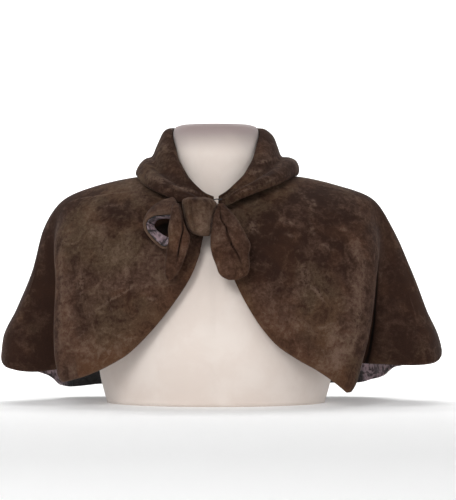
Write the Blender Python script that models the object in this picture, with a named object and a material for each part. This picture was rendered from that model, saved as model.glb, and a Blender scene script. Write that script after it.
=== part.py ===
"""Velvet shoulder capelet with a tied scarf collar, standing on a plain bust form.

Metres, +Z up. The origin is the centre of the form's flat foot, the wearer faces -Y and +X is on the
viewer's right. Angles round the body are in degrees from the centre front, positive towards +X.
"""

import math

import bmesh
import bpy
import numpy as np

COLLECTION = "velvet_capelet_on_bust_form"

# Cloth and seams
VELVET = 0.0025
LINING = 0.0008
SEAM = 0.0003
PANEL_GAP = 0.0006
COLLAR_CLOTH = 0.0024

# The capelet, from the neck seam down. Each row is one ring round the body: where its outer face
# passes the two sides, the front and the back. Lean is the share of its fold's slant that a ring has.
SECTION_COLUMNS = ("name", "left_x", "left_z", "right_x", "right_z", "front_y", "front_z", "back_y",
                   "back_z", "lean")
SECTIONS = (
    ("neck seam", 0.066, 0.2900, 0.066, 0.2900, 0.072, 0.2480, 0.064, 0.296, 0.00),
    ("collar edge", 0.106, 0.2850, 0.107, 0.2860, 0.084, 0.2385, 0.083, 0.284, 0.20),
    ("shoulder", 0.153, 0.2742, 0.155, 0.2750, 0.096, 0.2210, 0.098, 0.262, 0.60),
    ("shoulder point", 0.194, 0.2565, 0.197, 0.2592, 0.106, 0.1900, 0.108, 0.230, 0.95),
    ("upper arm", 0.2200, 0.2190, 0.2252, 0.2200, 0.117, 0.1500, 0.115, 0.185, 1.00),
    ("elbow", 0.2340, 0.1660, 0.2470, 0.1700, 0.126, 0.1050, 0.122, 0.127, 0.70),
    ("forearm", 0.2530, 0.1190, 0.2660, 0.1200, 0.134, 0.0600, 0.131, 0.070, 0.42),
    ("wrist", 0.2705, 0.0800, 0.2840, 0.0790, 0.139, 0.0220, 0.138, 0.030, 0.15),
    ("below the hem", 0.2750, 0.0300, 0.2930, 0.0300, 0.141, -0.0080, 0.141, -0.008, 0.00),
)
LAST_SECTION = len(SECTIONS) - 1

# Folds that open towards the hem: the angle at the hem, the half width in degrees, how far the
# cloth stands out at the hem, and the section where the fold begins.
FOLD_COLUMNS = ("name", "angle", "width", "out", "begins")
FOLDS = (
    ("left front crest", -39, 11, 0.019, 3.0),
    ("left front fold", -56, 10, -0.074, 3.0),
    ("left back hollow", -120, 11, -0.024, 3.0),
    ("left back flute", -140, 11, 0.009, 2.5),
    ("left back furrow", -162, 10, -0.015, 3.2),
    ("centre back flute", 180, 9, 0.007, 3.0),
    ("right back furrow", 159, 9, -0.013, 3.4),
    ("right back flute", 139, 11, 0.010, 2.5),
    ("right back hollow", 119, 11, -0.022, 3.0),
    ("right front fold", 48, 10, -0.078, 3.0),
    ("right front crest", 32, 11, 0.011, 3.0),
)
FOLD_GROWTH = 1.15
FOLD_SLANT = {-1: 21.0, 1: 27.0}  # degrees that the front fold leans outwards, at the upper arm
SLANT_SPAN = 100.0  # degrees of the body over which the columns share that slant

# The fronts are cut away. Each row is a point of the edge: its distance from the middle and height.
EDGE_COLUMNS = ("from_middle", "height")
LEFT_EDGE = (
    (0.000, 0.245), (0.010, 0.216), (0.018, 0.192), (0.029, 0.163), (0.044, 0.138),
    (0.064, 0.111), (0.086, 0.0858), (0.114, 0.061), (0.157, 0.040), (0.188, 0.031),
)
RIGHT_EDGE = (
    (0.000, 0.215), (0.010, 0.188), (0.024, 0.154), (0.037, 0.128), (0.0555, 0.099),
    (0.0766, 0.0753), (0.104, 0.057), (0.126, 0.0446), (0.144, 0.0322), (0.161, 0.0185),
)
# From the front fold round to the back the hem is given by angle and height.
HEM_COLUMNS = ("angle", "height")
LEFT_HEM = (
    (40, 0.031), (50, 0.042), (58, 0.045), (66, 0.040), (72, 0.043), (80, 0.048), (88, 0.053),
    (95, 0.055), (106, 0.045), (119, 0.031), (130, 0.0165), (137, 0.0140), (150, 0.0175),
    (165, 0.018), (180, 0.018),
)
RIGHT_HEM = (
    (34, 0.0185), (37, 0.028), (40.5, 0.041), (46, 0.051), (52, 0.0505), (60, 0.0490), (70, 0.0510),
    (80, 0.057), (90, 0.063), (106, 0.050), (120, 0.0415), (131, 0.0275), (136, 0.0240), (141, 0.019), (150, 0.018),
    (165, 0.017), (180, 0.018),
)

# Columns of the panels: first angle, last angle and number of steps between them.
SIDE_SEAM = 86.0
LEFT_START, RIGHT_START = 3.4, 1.6
LEFT_STEPS = ((LEFT_START, 32, 8), (32, 64, 9), (64, SIDE_SEAM, 3))
RIGHT_STEPS = ((RIGHT_START, 27, 8), (27, 60, 9), (60, SIDE_SEAM, 3))
BACK_STEPS = ((SIDE_SEAM, 110, 4), (110, 250, 20), (250, 360 - SIDE_SEAM, 4))
PANEL_ROWS = 12

# The collar, as stations round the neck: the fold at its top, its outer edge, and how far the cloth
# stands out below the fold, at the crease and at the bulge of its edge.
COLLAR_COLUMNS = ("angle", "roll_r", "roll_z", "edge_r", "edge_z", "top", "crease", "bulge")
LEFT_COLLAR = (
    (1.5, 0.0850, 0.2560, 0.0900, 0.2490, 0.0010, 0.0010, 0.0020),
    (9, 0.0830, 0.2610, 0.0930, 0.2480, 0.0015, 0.0020, 0.0030),
    (18, 0.0780, 0.2705, 0.0960, 0.2500, 0.0020, 0.0025, 0.0040),
    (28, 0.0740, 0.2820, 0.0985, 0.2545, 0.0025, 0.0025, 0.0050),
    (38, 0.0690, 0.2940, 0.1010, 0.2615, 0.0025, 0.0015, 0.0055),
    (50, 0.0650, 0.3070, 0.1025, 0.2695, 0.0025, -0.0005, 0.0055),
    (65, 0.0610, 0.3240, 0.1015, 0.2785, 0.0025, -0.0020, 0.0045),
    (80, 0.0600, 0.3370, 0.1005, 0.2878, 0.0025, -0.0030, 0.0035),
    (95, 0.0600, 0.3445, 0.1005, 0.2902, 0.0025, -0.0030, 0.0035),
    (130, 0.0605, 0.3465, 0.1030, 0.2875, 0.0025, -0.0020, 0.0050),
    (180, 0.0610, 0.3470, 0.1000, 0.2790, 0.0025, -0.0015, 0.0050),
)
RIGHT_COLLAR = (
    (2.5, 0.0850, 0.2570, 0.0915, 0.2465, 0.0015, 0.0030, 0.0035),
    (9, 0.0830, 0.2630, 0.0925, 0.2495, 0.0020, 0.0035, 0.0045),
    (18, 0.0780, 0.2730, 0.0945, 0.2570, 0.0025, 0.0035, 0.0055),
    (28, 0.0740, 0.2840, 0.0955, 0.2635, 0.0030, 0.0025, 0.0065),
    (38, 0.0690, 0.2955, 0.0965, 0.2695, 0.0035, 0.0010, 0.0075),
    (50, 0.0650, 0.3085, 0.0980, 0.2755, 0.0040, -0.0005, 0.0080),
    (65, 0.0610, 0.3250, 0.0985, 0.2825, 0.0045, -0.0015, 0.0085),
    (80, 0.0600, 0.3375, 0.1010, 0.2880, 0.0050, -0.0022, 0.0088),
    (95, 0.0600, 0.3445, 0.1030, 0.2895, 0.0050, -0.0022, 0.0086),
    (130, 0.0605, 0.3465, 0.1040, 0.2870, 0.0040, -0.0018, 0.0070),
    (180, 0.0610, 0.3470, 0.1000, 0.2790, 0.0025, -0.0015, 0.0050),
)
COLLAR_STATIONS = 44
STAND_OUT = 0.0025  # the stand starts this far inside the neck seam
STAND_UP = 0.0036  # and this far above it

# The tie. Rows of each tail run down it: height, its two sides, its middle in y and half its depth,
# and the place and depth of the crease along its face.
TAIL_COLUMNS = ("height", "left", "right", "y", "half_depth", "crease_x", "crease")
LEFT_TAIL = (
    (0.2497, -0.0520, -0.0450, -0.1242, 0.0040, -0.0460, 0.00),
    (0.2460, -0.0528, -0.0430, -0.1262, 0.0060, -0.0440, 0.20),
    (0.2376, -0.0545, -0.0408, -0.1282, 0.0080, -0.0415, 0.45),
    (0.2280, -0.0560, -0.0388, -0.1293, 0.0090, -0.0400, 0.60),
    (0.2180, -0.0578, -0.0348, -0.1296, 0.0092, -0.0393, 0.70),
    (0.2069, -0.0571, -0.0308, -0.1296, 0.0090, -0.0420, 0.70),
    (0.1930, -0.0596, -0.0338, -0.1294, 0.0085, -0.0445, 0.60),
    (0.1827, -0.0608, -0.0376, -0.1288, 0.0080, -0.0460, 0.35),
    (0.1720, -0.0618, -0.0415, -0.1275, 0.0070, -0.0480, 0.10),
    (0.1620, -0.0610, -0.0480, -0.1262, 0.0055, -0.0520, 0.00),
    (0.1565, -0.0585, -0.0535, -0.1255, 0.0030, -0.0560, 0.00),
)
RIGHT_TAIL = (
    (0.2498, 0.0026, 0.0095, -0.1130, 0.0040, 0.0050, 0.00),
    (0.2430, -0.0004, 0.0162, -0.1145, 0.0070, 0.0055, 0.25),
    (0.2330, -0.0038, 0.0250, -0.1160, 0.0085, 0.0062, 0.50),
    (0.2200, -0.0050, 0.0328, -0.1190, 0.0095, 0.0130, 0.60),
    (0.2088, -0.0063, 0.0385, -0.1225, 0.0100, 0.0160, 0.65),
    (0.1990, -0.0062, 0.0428, -0.1245, 0.0100, 0.0200, 0.60),
    (0.1882, -0.0045, 0.0410, -0.1262, 0.0095, 0.0265, 0.45),
    (0.1743, 0.0006, 0.0417, -0.1282, 0.0090, 0.0320, 0.20),
    (0.1650, 0.0040, 0.0397, -0.1292, 0.0080, 0.0340, 0.05),
    (0.1595, 0.0095, 0.0335, -0.1297, 0.0060, 0.0300, 0.00),
    (0.1565, 0.0160, 0.0270, -0.1300, 0.0030, 0.0220, 0.00),
)
KNOT = (
    (0.2575, -0.0340, -0.0120, -0.1125, 0.0070, -0.0290, 0.00),
    (0.2545, -0.0400, -0.0038, -0.1125, 0.0145, -0.0290, 0.10),
    (0.2491, -0.0412, 0.0006, -0.1125, 0.0185, -0.0300, 0.16),
    (0.2418, -0.0400, -0.0014, -0.1127, 0.0200, -0.0300, 0.18),
    (0.2312, -0.0378, -0.0048, -0.1140, 0.0200, -0.0290, 0.16),
    (0.2201, -0.0341, -0.0058, -0.1155, 0.0170, -0.0260, 0.12),
    (0.2137, -0.0290, -0.0068, -0.1158, 0.0130, -0.0240, 0.05),
    (0.2098, -0.0190, -0.0084, -0.1160, 0.0065, -0.0140, 0.00),
)
TAIL_SIDES = 18
TAIL_SECTIONS = 13
CREASE_WIDTH = 0.20
TIE_SQUARE = 0.85  # 1 gives oval rings, and less gives squarer ones

# The bow loop: matched points round its front rim, the back edge of its velvet and the inner end of
# its lining, all in the front view.
LOOP_COLUMNS = ("front_x", "front_z", "back_x", "back_z", "inner_x", "inner_z")
LOOP = (
    (-0.0470, 0.2385, -0.0500, 0.2560, -0.0500, 0.2300),
    (-0.0560, 0.2390, -0.0600, 0.2560, -0.0570, 0.2312),
    (-0.0655, 0.2383, -0.0700, 0.2520, -0.0650, 0.2315),
    (-0.0760, 0.2370, -0.0790, 0.2455, -0.0715, 0.2290),
    (-0.0840, 0.2322, -0.0850, 0.2375, -0.0745, 0.2250),
    (-0.0876, 0.2240, -0.0878, 0.2270, -0.0745, 0.2210),
    (-0.0850, 0.2145, -0.0840, 0.2175, -0.0715, 0.2170),
    (-0.0755, 0.2028, -0.0740, 0.2060, -0.0655, 0.2125),
    (-0.0650, 0.1948, -0.0640, 0.1985, -0.0590, 0.2090),
    (-0.0570, 0.1960, -0.0560, 0.2000, -0.0530, 0.2100),
    (-0.0500, 0.2060, -0.0480, 0.2100, -0.0480, 0.2150),
    (-0.0450, 0.2230, -0.0430, 0.2350, -0.0460, 0.2230),
)
LOOP_FRONT_Y = -0.1198
LOOP_BACK_Y = -0.1008
LOOP_STEPS = 28
LOOP_BANDS = 3
LOOP_SEAM = 0.0005

# A cord loop holds the two sides of the collar together at the neck.
NECK_LOOP_D = 0.0014
NECK_LOOP = (
    (-0.0040, -0.0946, 0.2530), (-0.0012, -0.0949, 0.2550), (0.0020, -0.0950, 0.2556),
    (0.0050, -0.0949, 0.2550), (0.0074, -0.0946, 0.2562),
)
NECK_LOOP_SIDES = 8
NECK_LOOP_STEPS = 10

# The bust form: rings from its foot to the top of its neck, drawn like the capelet's.
FORM_COLUMNS = ("side_x", "side_z", "front_y", "front_z", "back_y", "back_z")
FORM = (
    (0.1380, 0.0000, 0.0980, 0.0000, 0.0860, 0.0000),
    (0.1470, 0.0350, 0.1120, 0.0350, 0.0900, 0.0350),
    (0.1510, 0.0700, 0.1180, 0.0660, 0.0930, 0.0690),
    (0.1520, 0.1000, 0.1160, 0.0860, 0.0960, 0.0980),
    (0.1560, 0.1350, 0.1110, 0.1080, 0.0985, 0.1300),
    (0.1660, 0.1680, 0.1040, 0.1300, 0.0990, 0.1600),
    (0.1790, 0.1980, 0.0980, 0.1500, 0.0985, 0.1850),
    (0.1870, 0.2200, 0.0940, 0.1650, 0.0970, 0.2030),
    (0.1885, 0.2400, 0.0910, 0.1770, 0.0950, 0.2190),
    (0.1810, 0.2555, 0.0875, 0.1900, 0.0930, 0.2330),
    (0.1680, 0.2648, 0.0840, 0.2020, 0.0910, 0.2440),
    (0.1515, 0.2706, 0.0800, 0.2140, 0.0880, 0.2540),
    (0.1280, 0.2763, 0.0770, 0.2220, 0.0840, 0.2640),
    (0.1050, 0.2809, 0.0720, 0.2320, 0.0790, 0.2735),
    (0.0850, 0.2828, 0.0670, 0.2390, 0.0700, 0.2800),
    (0.0700, 0.2842, 0.0620, 0.2450, 0.0620, 0.2850),
    (0.0610, 0.2866, 0.0570, 0.2550, 0.0580, 0.2890),
    (0.0570, 0.2975, 0.0535, 0.2760, 0.0555, 0.3000),
    (0.0545, 0.3250, 0.0525, 0.3250, 0.0535, 0.3250),
    (0.0540, 0.3420, 0.0520, 0.3420, 0.0525, 0.3420),
    (0.0515, 0.3485, 0.0495, 0.3485, 0.0500, 0.3485),
    (0.0440, 0.3515, 0.0425, 0.3515, 0.0430, 0.3515),
)
FORM_SIDES = 36

COLOURS = {
    "velvet": (0.075, 0.048, 0.035),
    "lining": (0.170, 0.130, 0.150),
    "cord": (0.010, 0.010, 0.010),
    "form": (0.720, 0.690, 0.640),
}
ROUGHNESS = {"velvet": 0.85, "lining": 0.40, "cord": 0.60, "form": 0.75}


def column(rows, names, name):
    """One named column of a table, as an array."""
    return np.array([row[names.index(name)] for row in rows], float)


def smooth_curve(at, values, where):
    """A smooth curve through the points (at, values) that doesn't overshoot them, read at where."""
    at, values, where = np.asarray(at, float), np.asarray(values, float), np.asarray(where, float)
    step = np.diff(at)
    slope = np.diff(values) / step
    before, after = slope[:-1], slope[1:]
    level = before * after <= 0
    mean = 2 * before * after / np.where(level, 1, before + after)
    tangent = np.concatenate([[slope[0]], np.where(level, 0, mean), [slope[-1]]])
    where = np.clip(where, at[0], at[-1])
    i = np.clip(np.searchsorted(at, where, side="right") - 1, 0, len(step) - 1)
    h = step[i]
    s = (where - at[i]) / h
    return (
        (2 * s**3 - 3 * s**2 + 1) * values[i]
        + (s**3 - 2 * s**2 + s) * h * tangent[i]
        + (3 * s**2 - 2 * s**3) * values[i + 1]
        + (s**3 - s**2) * h * tangent[i + 1]
    )


def table_curve(rows, names, key, name, where):
    """A column of a table as a smooth curve of the key column."""
    return smooth_curve(column(rows, names, key), column(rows, names, name), where)


def section(name, level):
    """A column of SECTIONS at a level from 0, the neck seam, to LAST_SECTION."""
    return smooth_curve(range(len(SECTIONS)), column(SECTIONS, SECTION_COLUMNS, name), level)


def wrapped(angle):
    """The angle between -180 and 180 degrees."""
    return (angle + 180.0) % 360.0 - 180.0


def body_angle(angle, level):
    """Where round the body a column of the cloth is at this level, in degrees."""
    angle = wrapped(angle)
    side = -1 if angle < 0 else 1
    if abs(angle) >= SLANT_SPAN:
        return angle
    share = math.sin(math.pi * abs(angle) / SLANT_SPAN) * float(section("lean", level))
    return angle + side * FOLD_SLANT[side] * share


def fold_out(angle, level):
    """How far the folds move the cloth outwards."""
    total = 0.0
    for _, middle, width, out, begins in FOLDS:
        grown = max(0.0, (level - begins) / (LAST_SECTION - begins)) ** FOLD_GROWTH
        away = wrapped(angle - middle) / width
        total += out * grown * math.exp(-away * away)
    return total


def ring_at(turn, level):
    """The reach of a ring sideways and forwards, and its height, in one direction."""
    side, ahead = math.sin(turn), math.cos(turn)
    hand, facing = "left" if side < 0 else "right", "front" if ahead >= 0 else "back"
    half_width, half_depth = section(hand + "_x", level), section(facing + "_y", level)
    height = section(hand + "_z", level) * side**2 + section(facing + "_z", level) * ahead**2
    return float(half_width), float(half_depth), float(height)


def capelet_point(angle, level):
    """A point of the capelet's outer face."""
    turn = math.radians(body_angle(angle, level))
    half_width, half_depth, height = ring_at(turn, level)
    out = fold_out(angle, level)
    side, ahead = math.sin(turn), math.cos(turn)
    return np.array([(half_width + out) * side, -(half_depth + out) * ahead, height])


def hem_height(angle, x):
    """The height of the capelet's lower edge: by distance from the middle, then by angle."""
    angle = wrapped(angle)
    edge, hem = (LEFT_EDGE, LEFT_HEM) if angle < 0 else (RIGHT_EDGE, RIGHT_HEM)
    if abs(angle) < hem[0][0]:
        return float(table_curve(edge, EDGE_COLUMNS, "from_middle", "height", abs(x)))
    return float(table_curve(hem, HEM_COLUMNS, "angle", "height", abs(angle)))


def hem_level(angle):
    """The level at which a column of the cloth reaches its lower edge."""
    low, high = 0.0, float(LAST_SECTION)
    for _ in range(30):
        middle = (low + high) / 2
        point = capelet_point(angle, middle)
        if point[2] > hem_height(angle, point[0]):
            low = middle
        else:
            high = middle
    return (low + high) / 2


def steps(spans, side=1):
    """The angles of a panel's columns."""
    angles = [spans[0][0]]
    for first, last, count in spans:
        angles += [first + (last - first) * (i + 1) / count for i in range(count)]
    return [side * angle for angle in angles]


def outward(angle, level):
    """The direction out of the cloth at a point of the capelet."""
    along = capelet_point(angle + 0.5, level) - capelet_point(angle - 0.5, level)
    lower, upper = min(level + 0.05, LAST_SECTION), max(level - 0.05, 0)
    down = capelet_point(angle, lower) - capelet_point(angle, upper)
    normal = np.cross(down, along)
    return normal / np.linalg.norm(normal)


def panel_grid(angles):
    """Points of a panel and their outward directions, a column for each angle, from the neck seam to
    the lower edge. The end columns are drawn in a little, to leave a seam gap."""
    points, normals = [], []
    for i, angle in enumerate(angles):
        end = hem_level(angle)
        inward = (i == 0) - (i == len(angles) - 1)
        inward *= 1 if angles[-1] > angles[0] else -1
        column_points, column_normals = [], []
        for row in range(PANEL_ROWS + 1):
            level = end * row / PANEL_ROWS
            along = capelet_point(angle + 0.5, level) - capelet_point(angle - 0.5, level)
            place = angle + inward * PANEL_GAP / 2 / float(np.linalg.norm(along))
            column_points.append(capelet_point(place, level))
            column_normals.append(outward(place, level))
        points.append(column_points)
        normals.append(column_normals)
    return np.array(points), np.array(normals)


def make_material(name):
    material = bpy.data.materials.new(name)
    material.use_nodes = True
    shader = material.node_tree.nodes["Principled BSDF"]
    shader.inputs["Base Color"].default_value = (*COLOURS[name], 1)
    shader.inputs["Roughness"].default_value = ROUGHNESS[name]
    shader.inputs["Metallic"].default_value = 0.0
    material.diffuse_color = (*COLOURS[name], 1)
    return material


def finish_object(name, mesh, material, collection):
    """Links the mesh as a smooth-shaded object."""
    mesh.shade_smooth()
    obj = bpy.data.objects.new(name, mesh)
    obj.data.materials.append(material)
    collection.objects.link(obj)
    return obj


def shell_mesh(name, outer, inner, ring=False):
    """A closed shell between two matched grids of points. A ring joins its last column to its first."""
    mesh = bmesh.new()
    count, rows = len(outer), len(outer[0])
    out = [[mesh.verts.new(point) for point in column_points] for column_points in outer]
    ins = [[mesh.verts.new(point) for point in column_points] for column_points in inner]
    for i in range(count if ring else count - 1):
        j = (i + 1) % count
        for row in range(rows - 1):
            mesh.faces.new((out[i][row], out[i][row + 1], out[j][row + 1], out[j][row]))
            mesh.faces.new((ins[i][row], ins[j][row], ins[j][row + 1], ins[i][row + 1]))
        mesh.faces.new((out[i][0], out[j][0], ins[j][0], ins[i][0]))
        mesh.faces.new((out[i][-1], ins[i][-1], ins[j][-1], out[j][-1]))
    if not ring:
        for row in range(rows - 1):
            mesh.faces.new((out[0][row], ins[0][row], ins[0][row + 1], out[0][row + 1]))
            mesh.faces.new((out[-1][row], out[-1][row + 1], ins[-1][row + 1], ins[-1][row]))
    return closed_mesh(name, mesh)


def tube_mesh(name, grid):
    """A solid through rings of points, one column for each side of the ring, with flat ends."""
    mesh = bmesh.new()
    verts = [[mesh.verts.new(point) for point in points] for points in grid]
    for i, points in enumerate(verts):
        ahead = verts[(i + 1) % len(verts)]
        for row in range(len(ahead) - 1):
            mesh.faces.new((points[row], points[row + 1], ahead[row + 1], ahead[row]))
    mesh.faces.new([points[0] for points in verts])
    mesh.faces.new([points[-1] for points in reversed(verts)])
    return closed_mesh(name, mesh)


def closed_mesh(name, mesh):
    """The finished mesh, with its faces turned outwards."""
    if mesh.calc_volume(signed=True) < 0:
        bmesh.ops.reverse_faces(mesh, faces=mesh.faces)
    data = bpy.data.meshes.new(name)
    mesh.to_mesh(data)
    mesh.free()
    return data


def make_panels(materials, collection):
    """The back, the two fronts, and the lining where it shows, inside the back."""
    panels = {
        "back_panel": steps(BACK_STEPS),
        "front_left": steps(LEFT_STEPS, -1)[::-1],
        "front_right": steps(RIGHT_STEPS),
    }
    for name, angles in panels.items():
        points, normals = panel_grid(angles)
        data = shell_mesh(name, points, points - VELVET * normals)
        finish_object(name, data, materials["velvet"], collection)
    points, normals = panel_grid(panels["back_panel"])
    points -= (VELVET + SEAM) * normals
    data = shell_mesh("lining_back", points, points - LINING * normals)
    finish_object("lining_back", data, materials["lining"], collection)


def collar_profile(angle):
    """Points across the collar at one angle: up the stand, over the roll and down the fall."""
    side_rows = LEFT_COLLAR if angle < 0 else RIGHT_COLLAR
    station = {name: float(table_curve(side_rows, COLLAR_COLUMNS, "angle", name, abs(angle)))
               for name in COLLAR_COLUMNS[1:]}
    neck = capelet_point(angle, 0.0)
    seam = np.array([np.hypot(*neck[:2]) - STAND_OUT, neck[2] + STAND_UP])
    roll = np.array([station["roll_r"], station["roll_z"]])
    fall = np.array([station["edge_r"], station["edge_z"]]) - roll
    length = float(np.linalg.norm(fall))
    along = fall / length
    across = np.array([-along[1], along[0]])
    top, crease, bulge = station["top"], station["crease"], station["bulge"]
    leaf = ((-0.02, -0.0035), (-0.035, 0.0), (0.04, 0.0034), (0.20, top), (0.38, 0.5 * (top + crease)),
            (0.57, crease), (0.68, 0.5 * (crease + bulge) + 0.0015), (0.79, bulge), (0.90, 0.85 * bulge),
            (0.98, 0.4 * bulge), (1.01, -0.1 * bulge), (0.97, -0.35 * bulge - 0.0005))
    leaf = [roll + along * length * s + across * out for s, out in leaf]
    points = [seam + (leaf[0] - seam) * share for share in (0.0, 0.33, 0.66)] + leaf
    return np.array(points)


def offset_profile(points, distance):
    """A flat curve moved sideways by a distance."""
    direction = np.gradient(points, axis=0)
    direction /= np.linalg.norm(direction, axis=1)[:, None]
    return points + distance * np.stack([-direction[:, 1], direction[:, 0]], axis=1)


def make_collar(materials, collection):
    """The scarf collar, folded over round the neck from one end of the tie to the other."""
    first, last = RIGHT_COLLAR[0][0], 360.0 - LEFT_COLLAR[0][0]
    outer, inner = [], []
    for i in range(COLLAR_STATIONS + 1):
        angle = first + (last - first) * i / COLLAR_STATIONS
        turn = math.radians(angle)
        profile = collar_profile(wrapped(angle))
        for faces, distance in ((outer, COLLAR_CLOTH / 2), (inner, -COLLAR_CLOTH / 2)):
            faces.append([(r * math.sin(turn), -r * math.cos(turn), z)
                          for r, z in offset_profile(profile, distance)])
    data = shell_mesh("collar", outer, inner)
    finish_object("collar", data, materials["velvet"], collection)


def tail_grid(rows):
    """Rings down a tail of the tie: flat ovals with a crease along the face."""
    grid = [[] for _ in range(TAIL_SIDES)]
    for place in np.linspace(0, len(rows) - 1, TAIL_SECTIONS):
        row = {name: float(smooth_curve(range(len(rows)), column(rows, TAIL_COLUMNS, name), place))
               for name in TAIL_COLUMNS}
        middle, half_width = (row["left"] + row["right"]) / 2, (row["right"] - row["left"]) / 2
        crease_at = (row["crease_x"] - middle) / half_width
        for i in range(TAIL_SIDES):
            turn = 2 * math.pi * (i + 0.5) / TAIL_SIDES
            across, depth = (math.copysign(abs(value) ** TIE_SQUARE, value)
                             for value in (math.cos(turn), -math.sin(turn)))
            near = math.exp(-(((across - crease_at) / CREASE_WIDTH) ** 2)) if depth < 0 else 0.0
            depth *= 1 - row["crease"] * near
            grid[i].append((middle + half_width * across,
                            row["y"] + row["half_depth"] * depth, row["height"]))
    return grid


def make_tie(materials, collection):
    """The crosspiece of the knot and the two tails."""
    for name, rows in (("knot", KNOT), ("tail_left", LEFT_TAIL), ("tail_right", RIGHT_TAIL)):
        data = tube_mesh(name, tail_grid(rows))
        finish_object(name, data, materials["velvet"], collection)


def ring_through(points, count):
    """Points spread round a closed smooth curve through the given ones."""
    points = np.array(points, float)
    spread = []
    for i in range(count):
        place = i * len(points) / count
        k, s = int(place), place - int(place)
        a, b, c, d = (points[(k + j) % len(points)] for j in (-1, 0, 1, 2))
        spread.append(0.5 * (2 * b + (c - a) * s + (2 * a - 5 * b + 4 * c - d) * s**2
                             + (3 * b - a - 3 * c + d) * s**3))
    return np.array(spread)


def inside(ring, distance):
    """A flat ring drawn in by a distance."""
    direction = np.roll(ring, -1, axis=0) - np.roll(ring, 1, axis=0)
    direction /= np.linalg.norm(direction, axis=1)[:, None]
    return ring + distance * np.stack([-direction[:, 1], direction[:, 0]], axis=1)


def band(front, back):
    """Columns of points from a front ring to a back ring."""
    columns = []
    for (front_x, front_z), (back_x, back_z) in zip(front, back):
        points = []
        for share in np.linspace(0, 1, LOOP_BANDS + 1):
            y = LOOP_FRONT_Y + (LOOP_BACK_Y - LOOP_FRONT_Y) * share
            points.append((front_x + (back_x - front_x) * share, y, front_z + (back_z - front_z) * share))
        columns.append(points)
    return columns


def make_bow_loop(materials, collection):
    """The loop of the half bow: velvet outside, and the lining drawn together in its eye."""
    rings = ring_through(LOOP, LOOP_STEPS)
    front, back, eye = rings[:, 0:2], rings[:, 2:4], rings[:, 4:6]
    velvet_in, velvet_eye = inside(front, VELVET), inside(eye, -(LOOP_SEAM + LINING))
    lining_out = inside(front, VELVET + LOOP_SEAM)
    lining_in = inside(front, VELVET + LOOP_SEAM + LINING)
    data = shell_mesh("bow_loop", band(front, back), band(velvet_in, velvet_eye), ring=True)
    finish_object("bow_loop", data, materials["velvet"], collection)
    lining_eye = inside(eye, -LINING)
    data = shell_mesh("lining_bow_loop", band(lining_out, lining_eye), band(lining_in, eye), ring=True)
    finish_object("lining_bow_loop", data, materials["lining"], collection)


def make_neck_loop(materials, collection):
    """The cord, as a round tube along its points."""
    places = np.linspace(0, len(NECK_LOOP) - 1, NECK_LOOP_STEPS)
    path = np.stack([smooth_curve(range(len(NECK_LOOP)), column(NECK_LOOP, "xyz", axis), places)
                     for axis in "xyz"], axis=1)
    grid = [[] for _ in range(NECK_LOOP_SIDES)]
    for point, direction in zip(path, np.gradient(path, axis=0)):
        first = np.cross(direction, (0.0, 1.0, 0.0))
        first /= np.linalg.norm(first)
        second = np.cross(direction, first)
        second /= np.linalg.norm(second)
        for i in range(NECK_LOOP_SIDES):
            turn = 2 * math.pi * i / NECK_LOOP_SIDES
            grid[i].append(point + NECK_LOOP_D / 2 * (math.cos(turn) * first + math.sin(turn) * second))
    data = tube_mesh("neck_loop", grid)
    finish_object("neck_loop", data, materials["cord"], collection)


def make_form(materials, collection):
    """The smooth bust form, from its flat foot to the top of its neck."""
    grid = []
    for i in range(FORM_SIDES):
        turn = 2 * math.pi * i / FORM_SIDES
        side, ahead = math.sin(turn), math.cos(turn)
        points = []
        for side_x, side_z, front_y, front_z, back_y, back_z in FORM:
            depth, middle_z = (front_y, front_z) if ahead > 0 else (back_y, back_z)
            height = side_z * side**2 + middle_z * ahead**2
            points.append((side_x * side, -depth * ahead, height))
        grid.append(points)
    data = tube_mesh("bust_form", grid)
    finish_object("bust_form", data, materials["form"], collection)


def clear_scene():
    for obj in list(bpy.data.objects):
        bpy.data.objects.remove(obj)


def main():
    clear_scene()
    collection = bpy.data.collections.new(COLLECTION)
    bpy.context.scene.collection.children.link(collection)
    materials = {name: make_material(name) for name in COLOURS}
    make_form(materials, collection)
    make_panels(materials, collection)
    make_collar(materials, collection)
    make_bow_loop(materials, collection)
    make_tie(materials, collection)
    make_neck_loop(materials, collection)


main()
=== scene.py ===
"""The looks of a velvet shoulder capelet with a half bow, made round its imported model.

Metres, +Z up. The wearer faces -Y and +X is on the viewer's right. Angles round the body are in degrees
from the centre front, positive towards +X.
"""

import math

import bpy
import numpy as np
from bpy.props import FloatProperty, FloatVectorProperty, IntProperty, PointerProperty
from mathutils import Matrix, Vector


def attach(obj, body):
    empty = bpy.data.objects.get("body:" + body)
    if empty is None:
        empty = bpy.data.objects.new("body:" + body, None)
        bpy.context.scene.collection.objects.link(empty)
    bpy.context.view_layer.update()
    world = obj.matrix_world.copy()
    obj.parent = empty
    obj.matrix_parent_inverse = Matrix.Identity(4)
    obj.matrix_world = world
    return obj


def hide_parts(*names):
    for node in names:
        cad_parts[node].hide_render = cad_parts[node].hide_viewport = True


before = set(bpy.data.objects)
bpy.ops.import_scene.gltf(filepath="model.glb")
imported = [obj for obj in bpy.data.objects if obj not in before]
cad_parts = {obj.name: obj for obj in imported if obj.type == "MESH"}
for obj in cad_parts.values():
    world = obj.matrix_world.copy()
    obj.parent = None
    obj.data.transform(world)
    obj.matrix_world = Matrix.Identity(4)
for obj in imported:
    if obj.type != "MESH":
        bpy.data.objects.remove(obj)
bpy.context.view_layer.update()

bl_info = {
    "name": "Velvet capelet",
    "version": (1, 0, 0),
    "blender": (4, 5, 0),
    "location": "3D View > Sidebar > Capelet",
    "description": "Makes a lined velvet capelet with a scarf collar and a half bow on a bust form",
    "category": "Add Mesh",
}

# ---------------------------------------------------------------------------------------------
# The capelet's shape, as in the model
# ---------------------------------------------------------------------------------------------

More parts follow.
